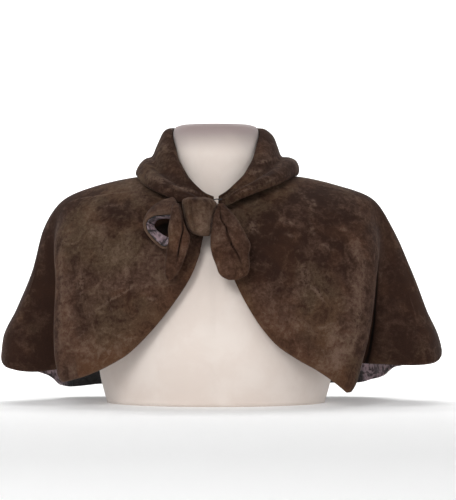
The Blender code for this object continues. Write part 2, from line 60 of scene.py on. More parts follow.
SECTION_COLUMNS = ("name", "left_x", "left_z", "right_x", "right_z", "front_y", "front_z", "back_y",
                   "back_z", "lean")
SECTIONS = (
    ("neck seam", 0.066, 0.2900, 0.066, 0.2900, 0.072, 0.2480, 0.064, 0.296, 0.00),
    ("collar edge", 0.106, 0.2850, 0.107, 0.2860, 0.084, 0.2385, 0.083, 0.284, 0.20),
    ("shoulder", 0.153, 0.2742, 0.155, 0.2750, 0.096, 0.2210, 0.098, 0.262, 0.60),
    ("shoulder point", 0.194, 0.2565, 0.197, 0.2592, 0.106, 0.1900, 0.108, 0.230, 0.95),
    ("upper arm", 0.2200, 0.2190, 0.2252, 0.2200, 0.117, 0.1500, 0.115, 0.185, 1.00),
    ("elbow", 0.2340, 0.1660, 0.2470, 0.1700, 0.126, 0.1050, 0.122, 0.127, 0.70),
    ("forearm", 0.2530, 0.1190, 0.2660, 0.1200, 0.134, 0.0600, 0.131, 0.070, 0.42),
    ("wrist", 0.2705, 0.0800, 0.2840, 0.0790, 0.139, 0.0220, 0.138, 0.030, 0.15),
    ("below the hem", 0.2750, 0.0300, 0.2930, 0.0300, 0.141, -0.0080, 0.141, -0.008, 0.00),
)
LAST_SECTION = len(SECTIONS) - 1
WIDE_LEVEL = 4.5  # the level where the width of a panel is taken

# Folds: name, angle, width, how far out the fold goes and the level where it begins.
FOLDS = (
    ("left front crest", -39, 11, 0.019, 3.0),
    ("left front fold", -56, 10, -0.074, 3.0),
    ("left back hollow", -120, 11, -0.024, 3.0),
    ("left back flute", -140, 11, 0.009, 2.5),
    ("left back furrow", -162, 10, -0.015, 3.2),
    ("centre back flute", 180, 9, 0.007, 3.0),
    ("right back furrow", 159, 9, -0.013, 3.4),
    ("right back flute", 139, 11, 0.010, 2.5),
    ("right back hollow", 119, 11, -0.022, 3.0),
    ("right front fold", 48, 10, -0.078, 3.0),
    ("right front crest", 32, 11, 0.011, 3.0),
)
FOLD_GROWTH = 1.15
FOLD_SLANT = (21.0, 27.0)  # left and right
SLANT_SPAN = 100.0

EDGE_COLUMNS = ("from_middle", "height")
LEFT_EDGE = (
    (0.000, 0.245), (0.010, 0.216), (0.018, 0.192), (0.029, 0.163), (0.044, 0.138),
    (0.064, 0.111), (0.086, 0.0858), (0.114, 0.061), (0.157, 0.040), (0.188, 0.031),
)
RIGHT_EDGE = (
    (0.000, 0.215), (0.010, 0.188), (0.024, 0.154), (0.037, 0.128), (0.0555, 0.099),
    (0.0766, 0.0753), (0.104, 0.057), (0.126, 0.0446), (0.144, 0.0322), (0.161, 0.0185),
)
HEM_COLUMNS = ("angle", "height")
LEFT_HEM = (
    (40, 0.031), (50, 0.042), (58, 0.045), (66, 0.040), (72, 0.043), (80, 0.048), (88, 0.053),
    (95, 0.055), (106, 0.045), (119, 0.031), (130, 0.0165), (137, 0.0140), (150, 0.0175),
    (165, 0.018), (180, 0.018),
)
RIGHT_HEM = (
    (34, 0.0185), (37, 0.028), (40.5, 0.041), (46, 0.051), (52, 0.0505), (60, 0.0490), (70, 0.0510),
    (80, 0.057), (90, 0.063), (106, 0.050), (120, 0.0415), (131, 0.0275), (136, 0.0240), (141, 0.019),
    (150, 0.018), (165, 0.017), (180, 0.018),
)
SIDE_SEAM = 86.0
LEFT_START, RIGHT_START = 3.4, 1.6
PANEL_GAP = -0.0004  # below 0, because the seams press the edges together

COLLAR_COLUMNS = ("angle", "roll_r", "roll_z", "edge_r", "edge_z", "top", "crease", "bulge")
LEFT_COLLAR = (
    (1.5, 0.0850, 0.2560, 0.0900, 0.2490, 0.0010, 0.0010, 0.0020),
    (9, 0.0830, 0.2610, 0.0930, 0.2480, 0.0015, 0.0020, 0.0030),
    (18, 0.0780, 0.2705, 0.0960, 0.2500, 0.0020, 0.0025, 0.0040),
    (28, 0.0740, 0.2820, 0.0985, 0.2545, 0.0025, 0.0025, 0.0050),
    (38, 0.0690, 0.2940, 0.1010, 0.2615, 0.0025, 0.0015, 0.0055),
    (50, 0.0650, 0.3070, 0.1025, 0.2695, 0.0025, -0.0005, 0.0055),
    (65, 0.0610, 0.3240, 0.1015, 0.2785, 0.0025, -0.0020, 0.0045),
    (80, 0.0600, 0.3370, 0.1005, 0.2878, 0.0025, -0.0030, 0.0035),
    (95, 0.0600, 0.3445, 0.1005, 0.2902, 0.0025, -0.0030, 0.0035),
    (130, 0.0605, 0.3465, 0.1030, 0.2875, 0.0025, -0.0020, 0.0050),
    (180, 0.0610, 0.3470, 0.1000, 0.2790, 0.0025, -0.0015, 0.0050),
)
RIGHT_COLLAR = (
    (2.5, 0.0850, 0.2570, 0.0915, 0.2465, 0.0015, 0.0030, 0.0035),
    (9, 0.0830, 0.2630, 0.0925, 0.2495, 0.0020, 0.0035, 0.0045),
    (18, 0.0780, 0.2730, 0.0945, 0.2570, 0.0025, 0.0035, 0.0055),
    (28, 0.0740, 0.2840, 0.0955, 0.2635, 0.0030, 0.0025, 0.0065),
    (38, 0.0690, 0.2955, 0.0965, 0.2695, 0.0035, 0.0010, 0.0075),
    (50, 0.0650, 0.3085, 0.0980, 0.2755, 0.0040, -0.0005, 0.0080),
    (65, 0.0610, 0.3250, 0.0985, 0.2825, 0.0045, -0.0015, 0.0085),
    (80, 0.0600, 0.3375, 0.1010, 0.2880, 0.0050, -0.0022, 0.0088),
    (95, 0.0600, 0.3445, 0.1030, 0.2895, 0.0050, -0.0022, 0.0086),
    (130, 0.0605, 0.3465, 0.1040, 0.2870, 0.0040, -0.0018, 0.0070),
    (180, 0.0610, 0.3470, 0.1000, 0.2790, 0.0025, -0.0015, 0.0050),
)
STAND_OUT = 0.0025
STAND_UP = 0.0036

TAIL_COLUMNS = ("height", "left", "right", "y", "half_depth", "crease_x", "crease")
LEFT_TAIL = (
    (0.2497, -0.0520, -0.0450, -0.1242, 0.0040, -0.0460, 0.00),
    (0.2460, -0.0528, -0.0430, -0.1262, 0.0060, -0.0440, 0.20),
    (0.2376, -0.0545, -0.0408, -0.1282, 0.0080, -0.0415, 0.45),
    (0.2280, -0.0560, -0.0388, -0.1293, 0.0090, -0.0400, 0.60),
    (0.2180, -0.0578, -0.0348, -0.1296, 0.0092, -0.0393, 0.70),
    (0.2069, -0.0571, -0.0308, -0.1296, 0.0090, -0.0420, 0.70),
    (0.1930, -0.0596, -0.0338, -0.1294, 0.0085, -0.0445, 0.60),
    (0.1827, -0.0608, -0.0376, -0.1288, 0.0080, -0.0460, 0.35),
    (0.1720, -0.0618, -0.0415, -0.1275, 0.0070, -0.0480, 0.10),
    (0.1620, -0.0610, -0.0480, -0.1262, 0.0055, -0.0520, 0.00),
    (0.1565, -0.0585, -0.0535, -0.1255, 0.0030, -0.0560, 0.00),
)
RIGHT_TAIL = (
    (0.2498, 0.0026, 0.0095, -0.1130, 0.0040, 0.0050, 0.00),
    (0.2430, -0.0004, 0.0162, -0.1145, 0.0070, 0.0055, 0.25),
    (0.2330, -0.0038, 0.0250, -0.1160, 0.0085, 0.0062, 0.50),
    (0.2200, -0.0050, 0.0328, -0.1190, 0.0095, 0.0130, 0.60),
    (0.2088, -0.0063, 0.0385, -0.1225, 0.0100, 0.0160, 0.65),
    (0.1990, -0.0062, 0.0428, -0.1245, 0.0100, 0.0200, 0.60),
    (0.1882, -0.0045, 0.0410, -0.1262, 0.0095, 0.0265, 0.45),
    (0.1743, 0.0006, 0.0417, -0.1282, 0.0090, 0.0320, 0.20),
    (0.1650, 0.0040, 0.0397, -0.1292, 0.0080, 0.0340, 0.05),
    (0.1595, 0.0095, 0.0335, -0.1297, 0.0060, 0.0300, 0.00),
    (0.1565, 0.0160, 0.0270, -0.1300, 0.0030, 0.0220, 0.00),
)
KNOT = (
    (0.2575, -0.0340, -0.0120, -0.1125, 0.0070, -0.0290, 0.00),
    (0.2545, -0.0400, -0.0030, -0.1125, 0.0145, -0.0290, 0.10),
    (0.2491, -0.0412, 0.0018, -0.1125, 0.0185, -0.0300, 0.16),
    (0.2418, -0.0400, -0.0010, -0.1127, 0.0200, -0.0300, 0.18),
    (0.2312, -0.0378, -0.0042, -0.1140, 0.0200, -0.0290, 0.16),
    (0.2201, -0.0341, -0.0052, -0.1155, 0.0170, -0.0260, 0.12),
    (0.2137, -0.0290, -0.0060, -0.1158, 0.0130, -0.0240, 0.05),
    (0.2098, -0.0190, -0.0072, -0.1160, 0.0065, -0.0140, 0.00),
)
TIE_SQUARE = 0.85  # how square the tie's flat ovals are: 1 is round, 0 is square
GATHER_START = 0.16  # share of the knot's height over which its gathers begin
KNOT_WARM = -0.4

# The loop's front, back and eye rings: x and z of each.
LOOP = (
    (-0.0470, 0.2385, -0.0500, 0.2560, -0.0500, 0.2300),
    (-0.0560, 0.2390, -0.0600, 0.2560, -0.0570, 0.2312),
    (-0.0655, 0.2383, -0.0700, 0.2520, -0.0650, 0.2315),
    (-0.0760, 0.2370, -0.0790, 0.2455, -0.0715, 0.2290),
    (-0.0840, 0.2322, -0.0850, 0.2375, -0.0745, 0.2250),
    (-0.0876, 0.2240, -0.0878, 0.2270, -0.0745, 0.2210),
    (-0.0850, 0.2145, -0.0840, 0.2175, -0.0715, 0.2170),
    (-0.0755, 0.2028, -0.0740, 0.2060, -0.0655, 0.2125),
    (-0.0650, 0.1948, -0.0640, 0.1985, -0.0590, 0.2090),
    (-0.0570, 0.1960, -0.0560, 0.2000, -0.0530, 0.2100),
    (-0.0500, 0.2060, -0.0480, 0.2100, -0.0480, 0.2150),
    (-0.0450, 0.2230, -0.0430, 0.2350, -0.0460, 0.2230),
)
LOOP_FRONT_Y = -0.1198
LOOP_BACK_Y = -0.1008
LOOP_SEAM = 0.0005
# Pleats of the loop's satin: waves round the loop, start, size and lean.
LOOP_PLEATS = ((7, 0.5, 0.5, 1.2), (13, 2.0, 0.4, -1.6), (22, 4.1, 0.3, 2.4))
LOOP_PLEAT_DEPTH = 0.0016
LOOP_SIDES, LOOP_BANDS = 180, 30
CORD_SIDES = 20

NECK_LOOP = (
    (-0.0040, -0.0946, 0.2530), (-0.0012, -0.0949, 0.2550), (0.0020, -0.0950, 0.2556),
    (0.0050, -0.0949, 0.2550), (0.0074, -0.0946, 0.2562),
)

FORM_COLUMNS = ("side_x", "side_z", "front_y", "front_z", "back_y", "back_z")
FORM = (
    (0.1380, 0.0000, 0.0980, 0.0000, 0.0860, 0.0000),
    (0.1470, 0.0350, 0.1120, 0.0350, 0.0900, 0.0350),
    (0.1510, 0.0700, 0.1180, 0.0660, 0.0930, 0.0690),
    (0.1520, 0.1000, 0.1160, 0.0860, 0.0960, 0.0980),
    (0.1560, 0.1350, 0.1110, 0.1080, 0.0985, 0.1300),
    (0.1660, 0.1680, 0.1040, 0.1300, 0.0990, 0.1600),
    (0.1790, 0.1980, 0.0980, 0.1500, 0.0985, 0.1850),
    (0.1870, 0.2200, 0.0940, 0.1650, 0.0970, 0.2030),
    (0.1885, 0.2400, 0.0910, 0.1770, 0.0950, 0.2190),
    (0.1810, 0.2555, 0.0875, 0.1900, 0.0930, 0.2330),
    (0.1680, 0.2648, 0.0840, 0.2020, 0.0910, 0.2440),
    (0.1515, 0.2706, 0.0800, 0.2140, 0.0880, 0.2540),
    (0.1280, 0.2763, 0.0770, 0.2220, 0.0840, 0.2640),
    (0.1050, 0.2809, 0.0720, 0.2320, 0.0790, 0.2735),
    (0.0850, 0.2828, 0.0670, 0.2390, 0.0700, 0.2800),
    (0.0700, 0.2842, 0.0620, 0.2450, 0.0620, 0.2850),
    (0.0610, 0.2866, 0.0570, 0.2550, 0.0580, 0.2890),
    (0.0570, 0.2975, 0.0535, 0.2760, 0.0555, 0.3000),
    (0.0545, 0.3250, 0.0525, 0.3250, 0.0535, 0.3250),
    (0.0540, 0.3420, 0.0520, 0.3420, 0.0525, 0.3420),
    (0.0515, 0.3485, 0.0495, 0.3485, 0.0500, 0.3485),
    (0.0440, 0.3515, 0.0425, 0.3515, 0.0430, 0.3515),
)

# ---------------------------------------------------------------------------------------------
# Creases and swells
# ---------------------------------------------------------------------------------------------

# Lines on the panels, each through three points given as (angle, level): half width and height in
# metres. A ridge stands out and its pile is rubbed light; a trough has a negative height and is painted
# with shade. Angles past 86 lie on the back, which runs on round to 274.
PANEL_LINES = (
    # left front
    ((-53.8, 2.93), (-49.7, 2.23), (-48.5, 1.26), 0.0024, 0.0004),
    ((-40.3, 3.96), (-35.2, 3.88), (-32.1, 3.57), 0.0011, 0.0005),
    ((-39.8, 4.06), (-35.4, 4.00), (-32.6, 3.72), 0.0016, -0.0006),
    ((-16.3, 4.27), (-19.0, 4.56), (-24.7, 4.92), 0.0013, 0.0007),
    ((-17.2, 4.46), (-20.4, 4.72), (-24.0, 5.02), 0.0024, -0.0005),
    ((-23.9, 4.92), (-27.0, 5.14), (-30.2, 5.45), 0.0013, 0.0005),
    ((-22.9, 4.94), (-23.2, 5.03), (-23.6, 5.11), 0.0010, 0.0004),
    ((-30.5, 5.72), (-31.7, 5.87), (-33.8, 6.06), 0.0013, 0.0004),
    ((-23.6, 5.59), (-22.9, 5.67), (-21.8, 5.70), 0.0010, 0.0004),
    ((-21.0, 5.79), (-21.8, 5.94), (-22.5, 6.09), 0.0010, 0.0004),
    ((-13.9, 4.57), (-13.0, 4.56), (-12.0, 4.53), 0.0015, 0.0006),
    ((-29.8, 4.42), (-31.5, 4.70), (-31.3, 5.02), 0.0050, 0.0004),
    ((-30.9, 3.10), (-26.8, 3.37), (-25.4, 3.83), 0.0040, 0.0003),
    ((-23.4, 2.65), (-20.0, 3.29), (-17.5, 3.72), 0.0040, 0.0003),
    ((-38.2, 3.60), (-38.9, 4.60), (-38.6, 6.70), 0.0055, 0.0004),
    ((-35.0, 6.43), (-31.3, 6.48), (-27.3, 6.41), 0.0035, -0.0003),
    ((-27.7, 4.11), (-25.8, 4.30), (-22.7, 4.29), 0.0030, -0.0004),
    ((-37.7, 2.56), (-37.4, 2.28), (-34.4, 2.10), 0.0040, 0.0003),
    ((-68.2, 6.57), (-66.7, 7.02), (-67.9, 7.33), 0.0040, 0.0004),
    ((-70.0, 4.77), (-70.4, 5.45), (-69.6, 5.97), 0.0030, 0.0004),
    # right front
    ((16.4, 4.37), (18.2, 4.55), (20.9, 4.92), 0.0013, 0.0006),
    ((46.0, 1.40), (39.7, 1.69), (23.8, 2.62), 0.0018, 0.0003),
    ((23.3, 2.68), (21.7, 2.93), (21.2, 3.13), 0.0015, 0.0004),
    ((38.6, 1.91), (35.2, 2.08), (32.0, 2.25), 0.0016, 0.0005),
    ((18.8, 2.33), (19.8, 2.41), (20.0, 2.55), 0.0020, 0.0006),
    ((16.1, 2.70), (16.2, 2.80), (16.7, 2.95), 0.0018, 0.0004),
    ((21.0, 3.42), (22.3, 3.53), (23.6, 3.73), 0.0014, 0.0004),
    ((12.0, 1.84), (10.6, 2.15), (9.6, 2.49), 0.0030, 0.0005),
    ((6.7, 4.46), (8.9, 4.51), (11.9, 4.55), 0.0009, -0.0005),
    ((60.0, 1.61), (58.3, 1.97), (54.7, 2.40), 0.0045, 0.0003),
    ((30.4, 4.05), (30.2, 5.15), (29.6, 6.20), 0.0045, 0.0004),
    ((31.0, 5.84), (29.2, 6.11), (26.7, 6.28), 0.0022, 0.0004),
    ((57.5, 5.50), (57.7, 5.82), (56.6, 6.16), 0.0018, 0.0004),
    ((59.3, 6.42), (60.3, 6.43), (61.7, 6.60), 0.0014, 0.0004),
    ((60.4, 5.46), (62.0, 5.83), (62.8, 6.22), 0.0035, 0.0004),
    ((16.1, 5.44), (19.3, 5.89), (24.3, 6.30), 0.0040, -0.0004),
    ((12.7, 5.07), (15.8, 5.23), (20.5, 5.75), 0.0035, 0.0003),
    ((21.6, 3.98), (23.0, 4.30), (23.8, 4.63), 0.0030, -0.0004),
    ((15.5, 3.72), (16.0, 4.10), (15.7, 4.47), 0.0040, 0.0003),
    # sides and back
    ((98.0, 3.10), (103.0, 3.60), (104.0, 4.50), 0.0024, 0.0004),
    ((112.0, 4.60), (117.0, 4.95), (125.0, 5.05), 0.0019, 0.0006),
    ((121.0, 5.50), (123.0, 5.90), (121.5, 6.40), 0.0022, -0.0005),
    ((134.0, 3.40), (139.0, 3.75), (147.0, 3.70), 0.0019, 0.0005),
    ((136.0, 5.70), (138.0, 6.20), (137.0, 6.90), 0.0050, 0.0004),
    ((150.0, 4.50), (156.0, 4.20), (163.0, 4.35), 0.0019, 0.0006),
    ((155.0, 5.60), (160.0, 6.10), (161.0, 6.80), 0.0026, -0.0005),
    ((168.0, 2.20), (176.0, 2.45), (186.0, 2.30), 0.0022, 0.0004),
    ((172.0, 5.20), (174.0, 5.60), (180.0, 5.90), 0.0019, 0.0005),
    ((181.0, 5.80), (182.0, 6.30), (181.0, 7.00), 0.0045, 0.0004),
    ((190.0, 3.60), (196.0, 3.90), (199.0, 4.60), 0.0019, 0.0006),
    ((204.0, 5.30), (208.0, 5.70), (214.0, 5.75), 0.0019, 0.0005),
    ((217.0, 4.20), (220.0, 4.90), (219.0, 5.80), 0.0045, 0.0004),
    ((212.0, 2.70), (221.0, 2.95), (229.0, 2.75), 0.0020, 0.0004),
    ((232.0, 4.00), (236.0, 4.40), (237.0, 5.00), 0.0019, 0.0005),
    ((243.0, 5.30), (247.0, 5.50), (252.0, 5.35), 0.0019, 0.0005),
    ((251.0, 3.40), (255.0, 4.00), (256.0, 4.80), 0.0030, 0.0004),
    ((258.0, 5.90), (261.0, 6.20), (262.0, 6.60), 0.0018, 0.0004),
)

# Broad soft swells on the panels: angle, level, half extents in degrees and levels, height.
PANEL_SWELLS = (
    (-27, 3.5, 5, 0.9, 0.0014), (-31, 4.7, 3, 1.0, 0.0013), (-35, 5.7, 3, 0.8, -0.0013),
    (-22, 5.4, 4, 0.6, -0.0015), (-16, 3.7, 4, 0.7, 0.0012), (-25, 6.2, 4, 0.5, 0.0011),
    (-44, 2.6, 6, 0.4, 0.0010), (-70, 4.1, 5, 0.7, -0.0012), (-69, 6.2, 4, 0.8, 0.0014),
    (-78, 5.2, 4, 0.9, -0.0010),
    (13, 3.3, 4, 0.6, -0.0012), (18, 2.5, 5, 0.4, 0.0009), (20, 4.8, 4, 0.7, 0.0014),
    (26, 4.2, 4, 0.8, -0.0012), (12, 4.9, 3, 0.5, -0.0010), (22, 6.1, 4, 0.5, 0.0012),
    (58, 3.7, 5, 0.7, 0.0012), (63, 5.0, 4, 0.8, -0.0014), (58, 6.4, 4, 0.6, 0.0012),
    (74, 6.0, 5, 0.9, 0.0012), (76, 4.2, 5, 0.8, -0.0010),
    (100, 5.2, 6, 0.9, 0.0014), (112, 3.6, 6, 0.6, -0.0010), (128, 4.6, 6, 0.8, 0.0014),
    (146, 5.4, 5, 0.9, -0.0013), (166, 4.8, 5, 0.8, 0.0014), (178, 3.5, 7, 0.5, -0.0009),
    (193, 5.6, 5, 0.9, 0.0013), (207, 4.3, 5, 0.7, -0.0011), (226, 5.8, 5, 0.8, 0.0014),
    (240, 4.8, 5, 0.7, -0.0012), (252, 6.2, 5, 0.7, 0.0012), (264, 4.4, 4, 0.8, 0.0010),
)

# Patches that make the panels lighter or, below 0, deeper: angle, level, half extents, amount.
PANEL_PATCHES = (
    (-29, 3.2, 2.0, 0.35, 0.6), (-39, 3.0, 3.0, 0.30, 0.5), (-37, 5.2, 2.5, 1.30, 0.8),
    (-27, 5.0, 3.0, 0.45, 0.7), (-20, 4.0, 3.0, 0.35, 0.6), (-30, 6.3, 5.0, 0.40, 0.8),
    (-22, 5.9, 3.0, 0.35, 0.6), (-34, 4.2, 1.8, 0.25, -0.9), (-27, 4.3, 2.0, 0.18, -0.8),
    (-33, 5.3, 1.6, 0.20, -0.9), (-10, 4.6, 3.0, 0.35, -0.8), (-27, 2.7, 4.0, 0.35, -0.6),
    (-23, 5.4, 1.6, 0.20, -0.7), (-14, 5.3, 2.5, 0.40, -0.8), (-32, 3.6, 1.6, 0.20, -0.7),
    # The patch at -14.8 degrees and level 2.38 is a painted shadow on the panel behind the bow loop's eye.
    (-18, 4.7, 1.6, 0.20, -0.6), (-50, 1.6, 12.0, 0.60, 0.4), (-14.8, 2.38, 3.2, 0.42, -4.0),
    (14, 2.4, 14.0, 1.30, -0.8), (30, 2.9, 10.0, 1.20, -0.4), (18, 4.2, 12.0, 0.90, -0.4),
    (35, 4.6, 3.0, 2.00, -0.5), (12, 3.2, 3.0, 0.50, -0.9), (18, 1.8, 7.0, 0.30, -0.9),
    (15, 2.7, 2.0, 0.22, -0.8), (26, 3.6, 3.0, 0.30, -1.0), (42, 1.8, 8.0, 0.35, -0.9),
    (55, 1.9, 8.0, 0.40, -0.8), (36, 1.6, 8.0, 0.40, -0.7), (8, 4.0, 3.0, 0.30, -0.6),
    (20, 3.9, 2.0, 0.25, -0.7), (31, 2.9, 4.0, 0.25, -0.8), (21, 5.2, 1.6, 0.22, -0.7),
    (26, 5.5, 1.8, 0.22, -0.7), (29, 4.6, 1.6, 1.30, 0.8), (24, 5.7, 2.5, 0.35, 0.9),
    (28, 6.2, 2.5, 0.40, 1.0), (15, 4.6, 2.0, 0.25, 0.7), (18, 2.9, 2.0, 0.20, 0.5),
    (16, 5.4, 2.5, 0.25, 0.7), (24, 6.4, 4.0, 0.35, 1.0), (19, 2.2, 2.5, 0.14, 0.8),
    (25, 4.8, 2.0, 0.30, 0.5), (50, 2.2, 7.0, 0.35, -0.3), (59, 4.3, 2.0, 0.30, 0.8),
    (59, 5.9, 2.0, 0.30, 0.9), (54, 6.7, 2.0, 0.40, 0.8), (65, 6.9, 3.0, 0.35, 0.8),
    (-67, 6.8, 3.0, 0.45, 0.9), (-62, 4.7, 3.0, 0.50, -0.5), (-72, 6.0, 3.0, 0.50, 0.6),
    (108, 4.2, 4.0, 0.40, -0.8), (121, 3.4, 5.0, 0.30, 0.6), (131, 5.6, 4.0, 0.50, 0.7),
    (143, 4.4, 3.0, 0.40, -0.8), (158, 5.4, 3.0, 0.50, -0.7), (170, 4.2, 4.0, 0.35, 0.7),
    (183, 5.0, 3.0, 0.50, -0.8), (196, 3.2, 5.0, 0.30, -0.7), (203, 6.2, 4.0, 0.40, 0.8),
    (214, 4.7, 3.0, 0.40, 0.6), (228, 3.6, 4.0, 0.35, -0.8), (239, 6.0, 4.0, 0.40, 0.7),
    (250, 4.3, 4.0, 0.40, -0.6),
)
# Painted shadow: a dark line painted into the hollow of the right front fold.
FOLD_SHADE = (  # the dark line in the right front fold: level, angle, width
    (4.2, 45.8, 0.9), (4.6, 46.9, 0.9), (5.2, 48.5, 0.8), (5.6, 49.4, 0.75), (6.1, 50.5, 0.7),
    (6.9, 51.5, 0.7), (8.0, 51.6, 0.8),
)
SIDE_SHADE_ANGLES = (46.0, 60.0, 96.0, 118.0)  # angles between which the sides are painted with shade
# How strong the painted shade on the sides is, the painted light on the crests and painted shade in the
# hollows of the back's folds, and the painted shadow in the dark line.
SIDE_PAINTED_SHADE, BACK_FOLD_LIGHT_AND_SHADE, SHADE_LEAN = 1.3, 0.9, 2.8

# Folds along the collar, through three points given as (angle, place across from 0 to 1).
COLLAR_LINES = (
    ((41.1, 0.45), (50.0, 0.51), (63.1, 0.61), 0.0022, 0.0007),
    ((30.4, 0.47), (38.7, 0.56), (44.1, 0.62), 0.0040, 0.0006),
    ((38.1, 0.88), (42.3, 0.87), (48.2, 0.86), 0.0018, 0.0005),
    ((14.0, 0.80), (23.3, 0.84), (30.4, 0.87), 0.0020, 0.0006),
    ((46.0, 0.56), (60.0, 0.64), (84.0, 0.74), 0.0034, -0.0007),
    ((20.0, 0.60), (32.0, 0.70), (46.0, 0.76), 0.0030, -0.0005),
    ((-66.0, 0.88), (-54.0, 0.91), (-44.0, 0.90), 0.0022, -0.0005),
    ((-44.5, 0.86), (-41.5, 0.82), (-37.9, 0.79), 0.0013, 0.0005),
    ((-43.9, 0.92), (-42.1, 0.88), (-40.9, 0.84), 0.0011, 0.0005),
    ((-33.1, 0.78), (-24.8, 0.65), (-14.6, 0.56), 0.0045, 0.0008),
    ((-30.0, 0.86), (-21.0, 0.78), (-12.0, 0.72), 0.0030, -0.0007),
    ((-77.3, 0.60), (-69.0, 0.49), (-63.0, 0.44), 0.0040, 0.0005),
    ((-65.4, 0.78), (-55.2, 0.69), (-40.0, 0.58), 0.0050, -0.0010),
    ((-58.2, 0.87), (-47.5, 0.81), (-36.0, 0.70), 0.0045, 0.0006),
    ((-84.0, 0.80), (-78.0, 0.74), (-71.0, 0.72), 0.0026, 0.0006),
    ((98.0, 0.50), (118.0, 0.56), (140.0, 0.60), 0.0034, 0.0008),
    ((108.0, 0.84), (113.0, 0.79), (121.0, 0.82), 0.0018, 0.0005),
    ((132.0, 0.72), (145.0, 0.78), (160.0, 0.76), 0.0036, -0.0008),
    ((150.0, 0.46), (162.0, 0.50), (176.0, 0.47), 0.0026, 0.0006),
    ((-176.0, 0.68), (-160.0, 0.74), (-146.0, 0.71), 0.0034, 0.0007),
    ((-140.0, 0.48), (-124.0, 0.56), (-104.0, 0.58), 0.0040, -0.0008),
    ((-131.0, 0.86), (-120.0, 0.80), (-109.0, 0.84), 0.0020, 0.0005),
    ((-112.0, 0.42), (-100.0, 0.46), (-90.0, 0.52), 0.0024, 0.0006),
)

# Gathers of the knot: place across from -1 to 1, half width, depth, and how far down they reach.
GATHERS = (
    (-0.90, 0.05, 0.16, 0.60), (-0.72, 0.05, 0.13, 0.42), (-0.55, 0.06, 0.09, 0.32),
    (-0.20, 0.10, 0.05, 0.50), (0.46, 0.07, 0.05, 0.40), (0.74, 0.05, 0.08, 0.80),
)


def length_setting(name, description, default, low, high):
    """A length among the settings, in metres."""
    return FloatProperty(name=name, description=description, default=default, min=low, max=high,
                         unit="LENGTH", precision=4)


def colour_setting(name, description, red, green, blue):
    """A colour among the settings."""
    return FloatVectorProperty(name=name, description=description, subtype="COLOR", size=4,
                               default=(red, green, blue, 1), min=0, max=1)


class CapeletSizes(bpy.types.PropertyGroup):
    velvet: length_setting("Velvet", "Thickness of the velvet panels with their pile", 0.0025, 0.001, 0.003)
    lining: length_setting("Lining", "Thickness of the satin lining", 0.0008, 0.0004, 0.002)
    seam: length_setting("Seam", "Gap between the velvet and its lining", 0.0003, 0.0001, 0.001)
    collar: length_setting("Collar cloth", "Thickness of the collar's doubled velvet", 0.0024, 0.001, 0.003)
    edge_roll: length_setting("Edge roll",
                              "How far the velvet's turned edge rolls inwards", 0.0016, 0.0, 0.004)
    cord: length_setting("Cord", "Diameter of the cord loop at the neck", 0.0014, 0.0008, 0.003)
    stitch: length_setting("Stitch", "Distance between slip stitches of the lining", 0.0045, 0.002, 0.01)


class CapeletColours(bpy.types.PropertyGroup):
    velvet: colour_setting("Velvet", "Brown of the flat pile", 0.070, 0.0385, 0.0265)
    # Also the colour of the painted shade in creases and fold hollows.
    velvet_deep_and_shade: colour_setting("Velvet, pressed", "Brown where the pile leans away", 0.0245, 0.0112, 0.0072)
    # Also the colour of the painted highlights along the edges.
    velvet_rubbed: colour_setting("Velvet, rubbed", "Brown along rubbed creases", 0.150, 0.096, 0.070)
    velvet_olive: colour_setting("Velvet, olive", "Olive brown of some patches", 0.066, 0.0435, 0.0240)
    velvet_warm: colour_setting("Velvet, warm", "Redder brown of some patches", 0.086, 0.037, 0.018)
    satin: colour_setting("Satin", "Mauve grey of the lining", 0.520, 0.378, 0.420)
    cord: colour_setting("Cord", "Black of the cord loop", 0.008, 0.008, 0.009)
    jersey: colour_setting("Jersey", "Off-white of the form's cover", 0.800, 0.715, 0.655)
    floor: colour_setting("Floor", "White of the floor and the backdrop", 0.90, 0.90, 0.90)


class CapeletDetail(bpy.types.PropertyGroup):
    panel_spacing: length_setting("Panel spacing", "Distance of points on the fronts", 0.0016, 0.001, 0.01)
    collar_spacing: length_setting("Collar spacing", "Distance of points on the collar", 0.0016, 0.001, 0.01)
    tie_sides: IntProperty(name="Tie sides", description="Points round the knot and round each tail",
                           default=112, min=24, max=240)
    tie_rings: IntProperty(name="Tie rings", description="Rings along the knot and along each tail",
                           default=88, min=24, max=240)


# ---------------------------------------------------------------------------------------------
# Curves and grids
# ---------------------------------------------------------------------------------------------


def column(rows, names, name):
    """One named column of a table, as an array."""
    return np.array([row[names.index(name)] for row in rows], float)


def smooth_curve(at, values, where):
    """A smooth curve through the points (at, values) that doesn't overshoot them, read at where."""
    at, values, where = np.asarray(at, float), np.asarray(values, float), np.asarray(where, float)
    step = np.diff(at)
    slope = np.diff(values) / step
    before, after = slope[:-1], slope[1:]
    level = before * after <= 0
    mean = 2 * before * after / np.where(level, 1, before + after)
    tangent = np.concatenate([[slope[0]], np.where(level, 0, mean), [slope[-1]]])
    where = np.clip(where, at[0], at[-1])
    i = np.clip(np.searchsorted(at, where, side="right") - 1, 0, len(step) - 1)
    h = step[i]
    s = (where - at[i]) / h
    return (
        (2 * s**3 - 3 * s**2 + 1) * values[i]
        + (s**3 - 2 * s**2 + s) * h * tangent[i]
        + (3 * s**2 - 2 * s**3) * values[i + 1]
        + (s**3 - s**2) * h * tangent[i + 1]
    )


def table_curve(rows, names, key, name, where):
    """A column of a table as a smooth curve of the key column."""
    return smooth_curve(column(rows, names, key), column(rows, names, name), where)


def table_rings(rows, names, count):
    """Every column of a table as a smooth curve down its rows, at evenly spaced places."""
    place = np.linspace(0, len(rows) - 1, count)
    return {name: smooth_curve(range(len(rows)), column(rows, names, name), place)[None, :] for name in names}


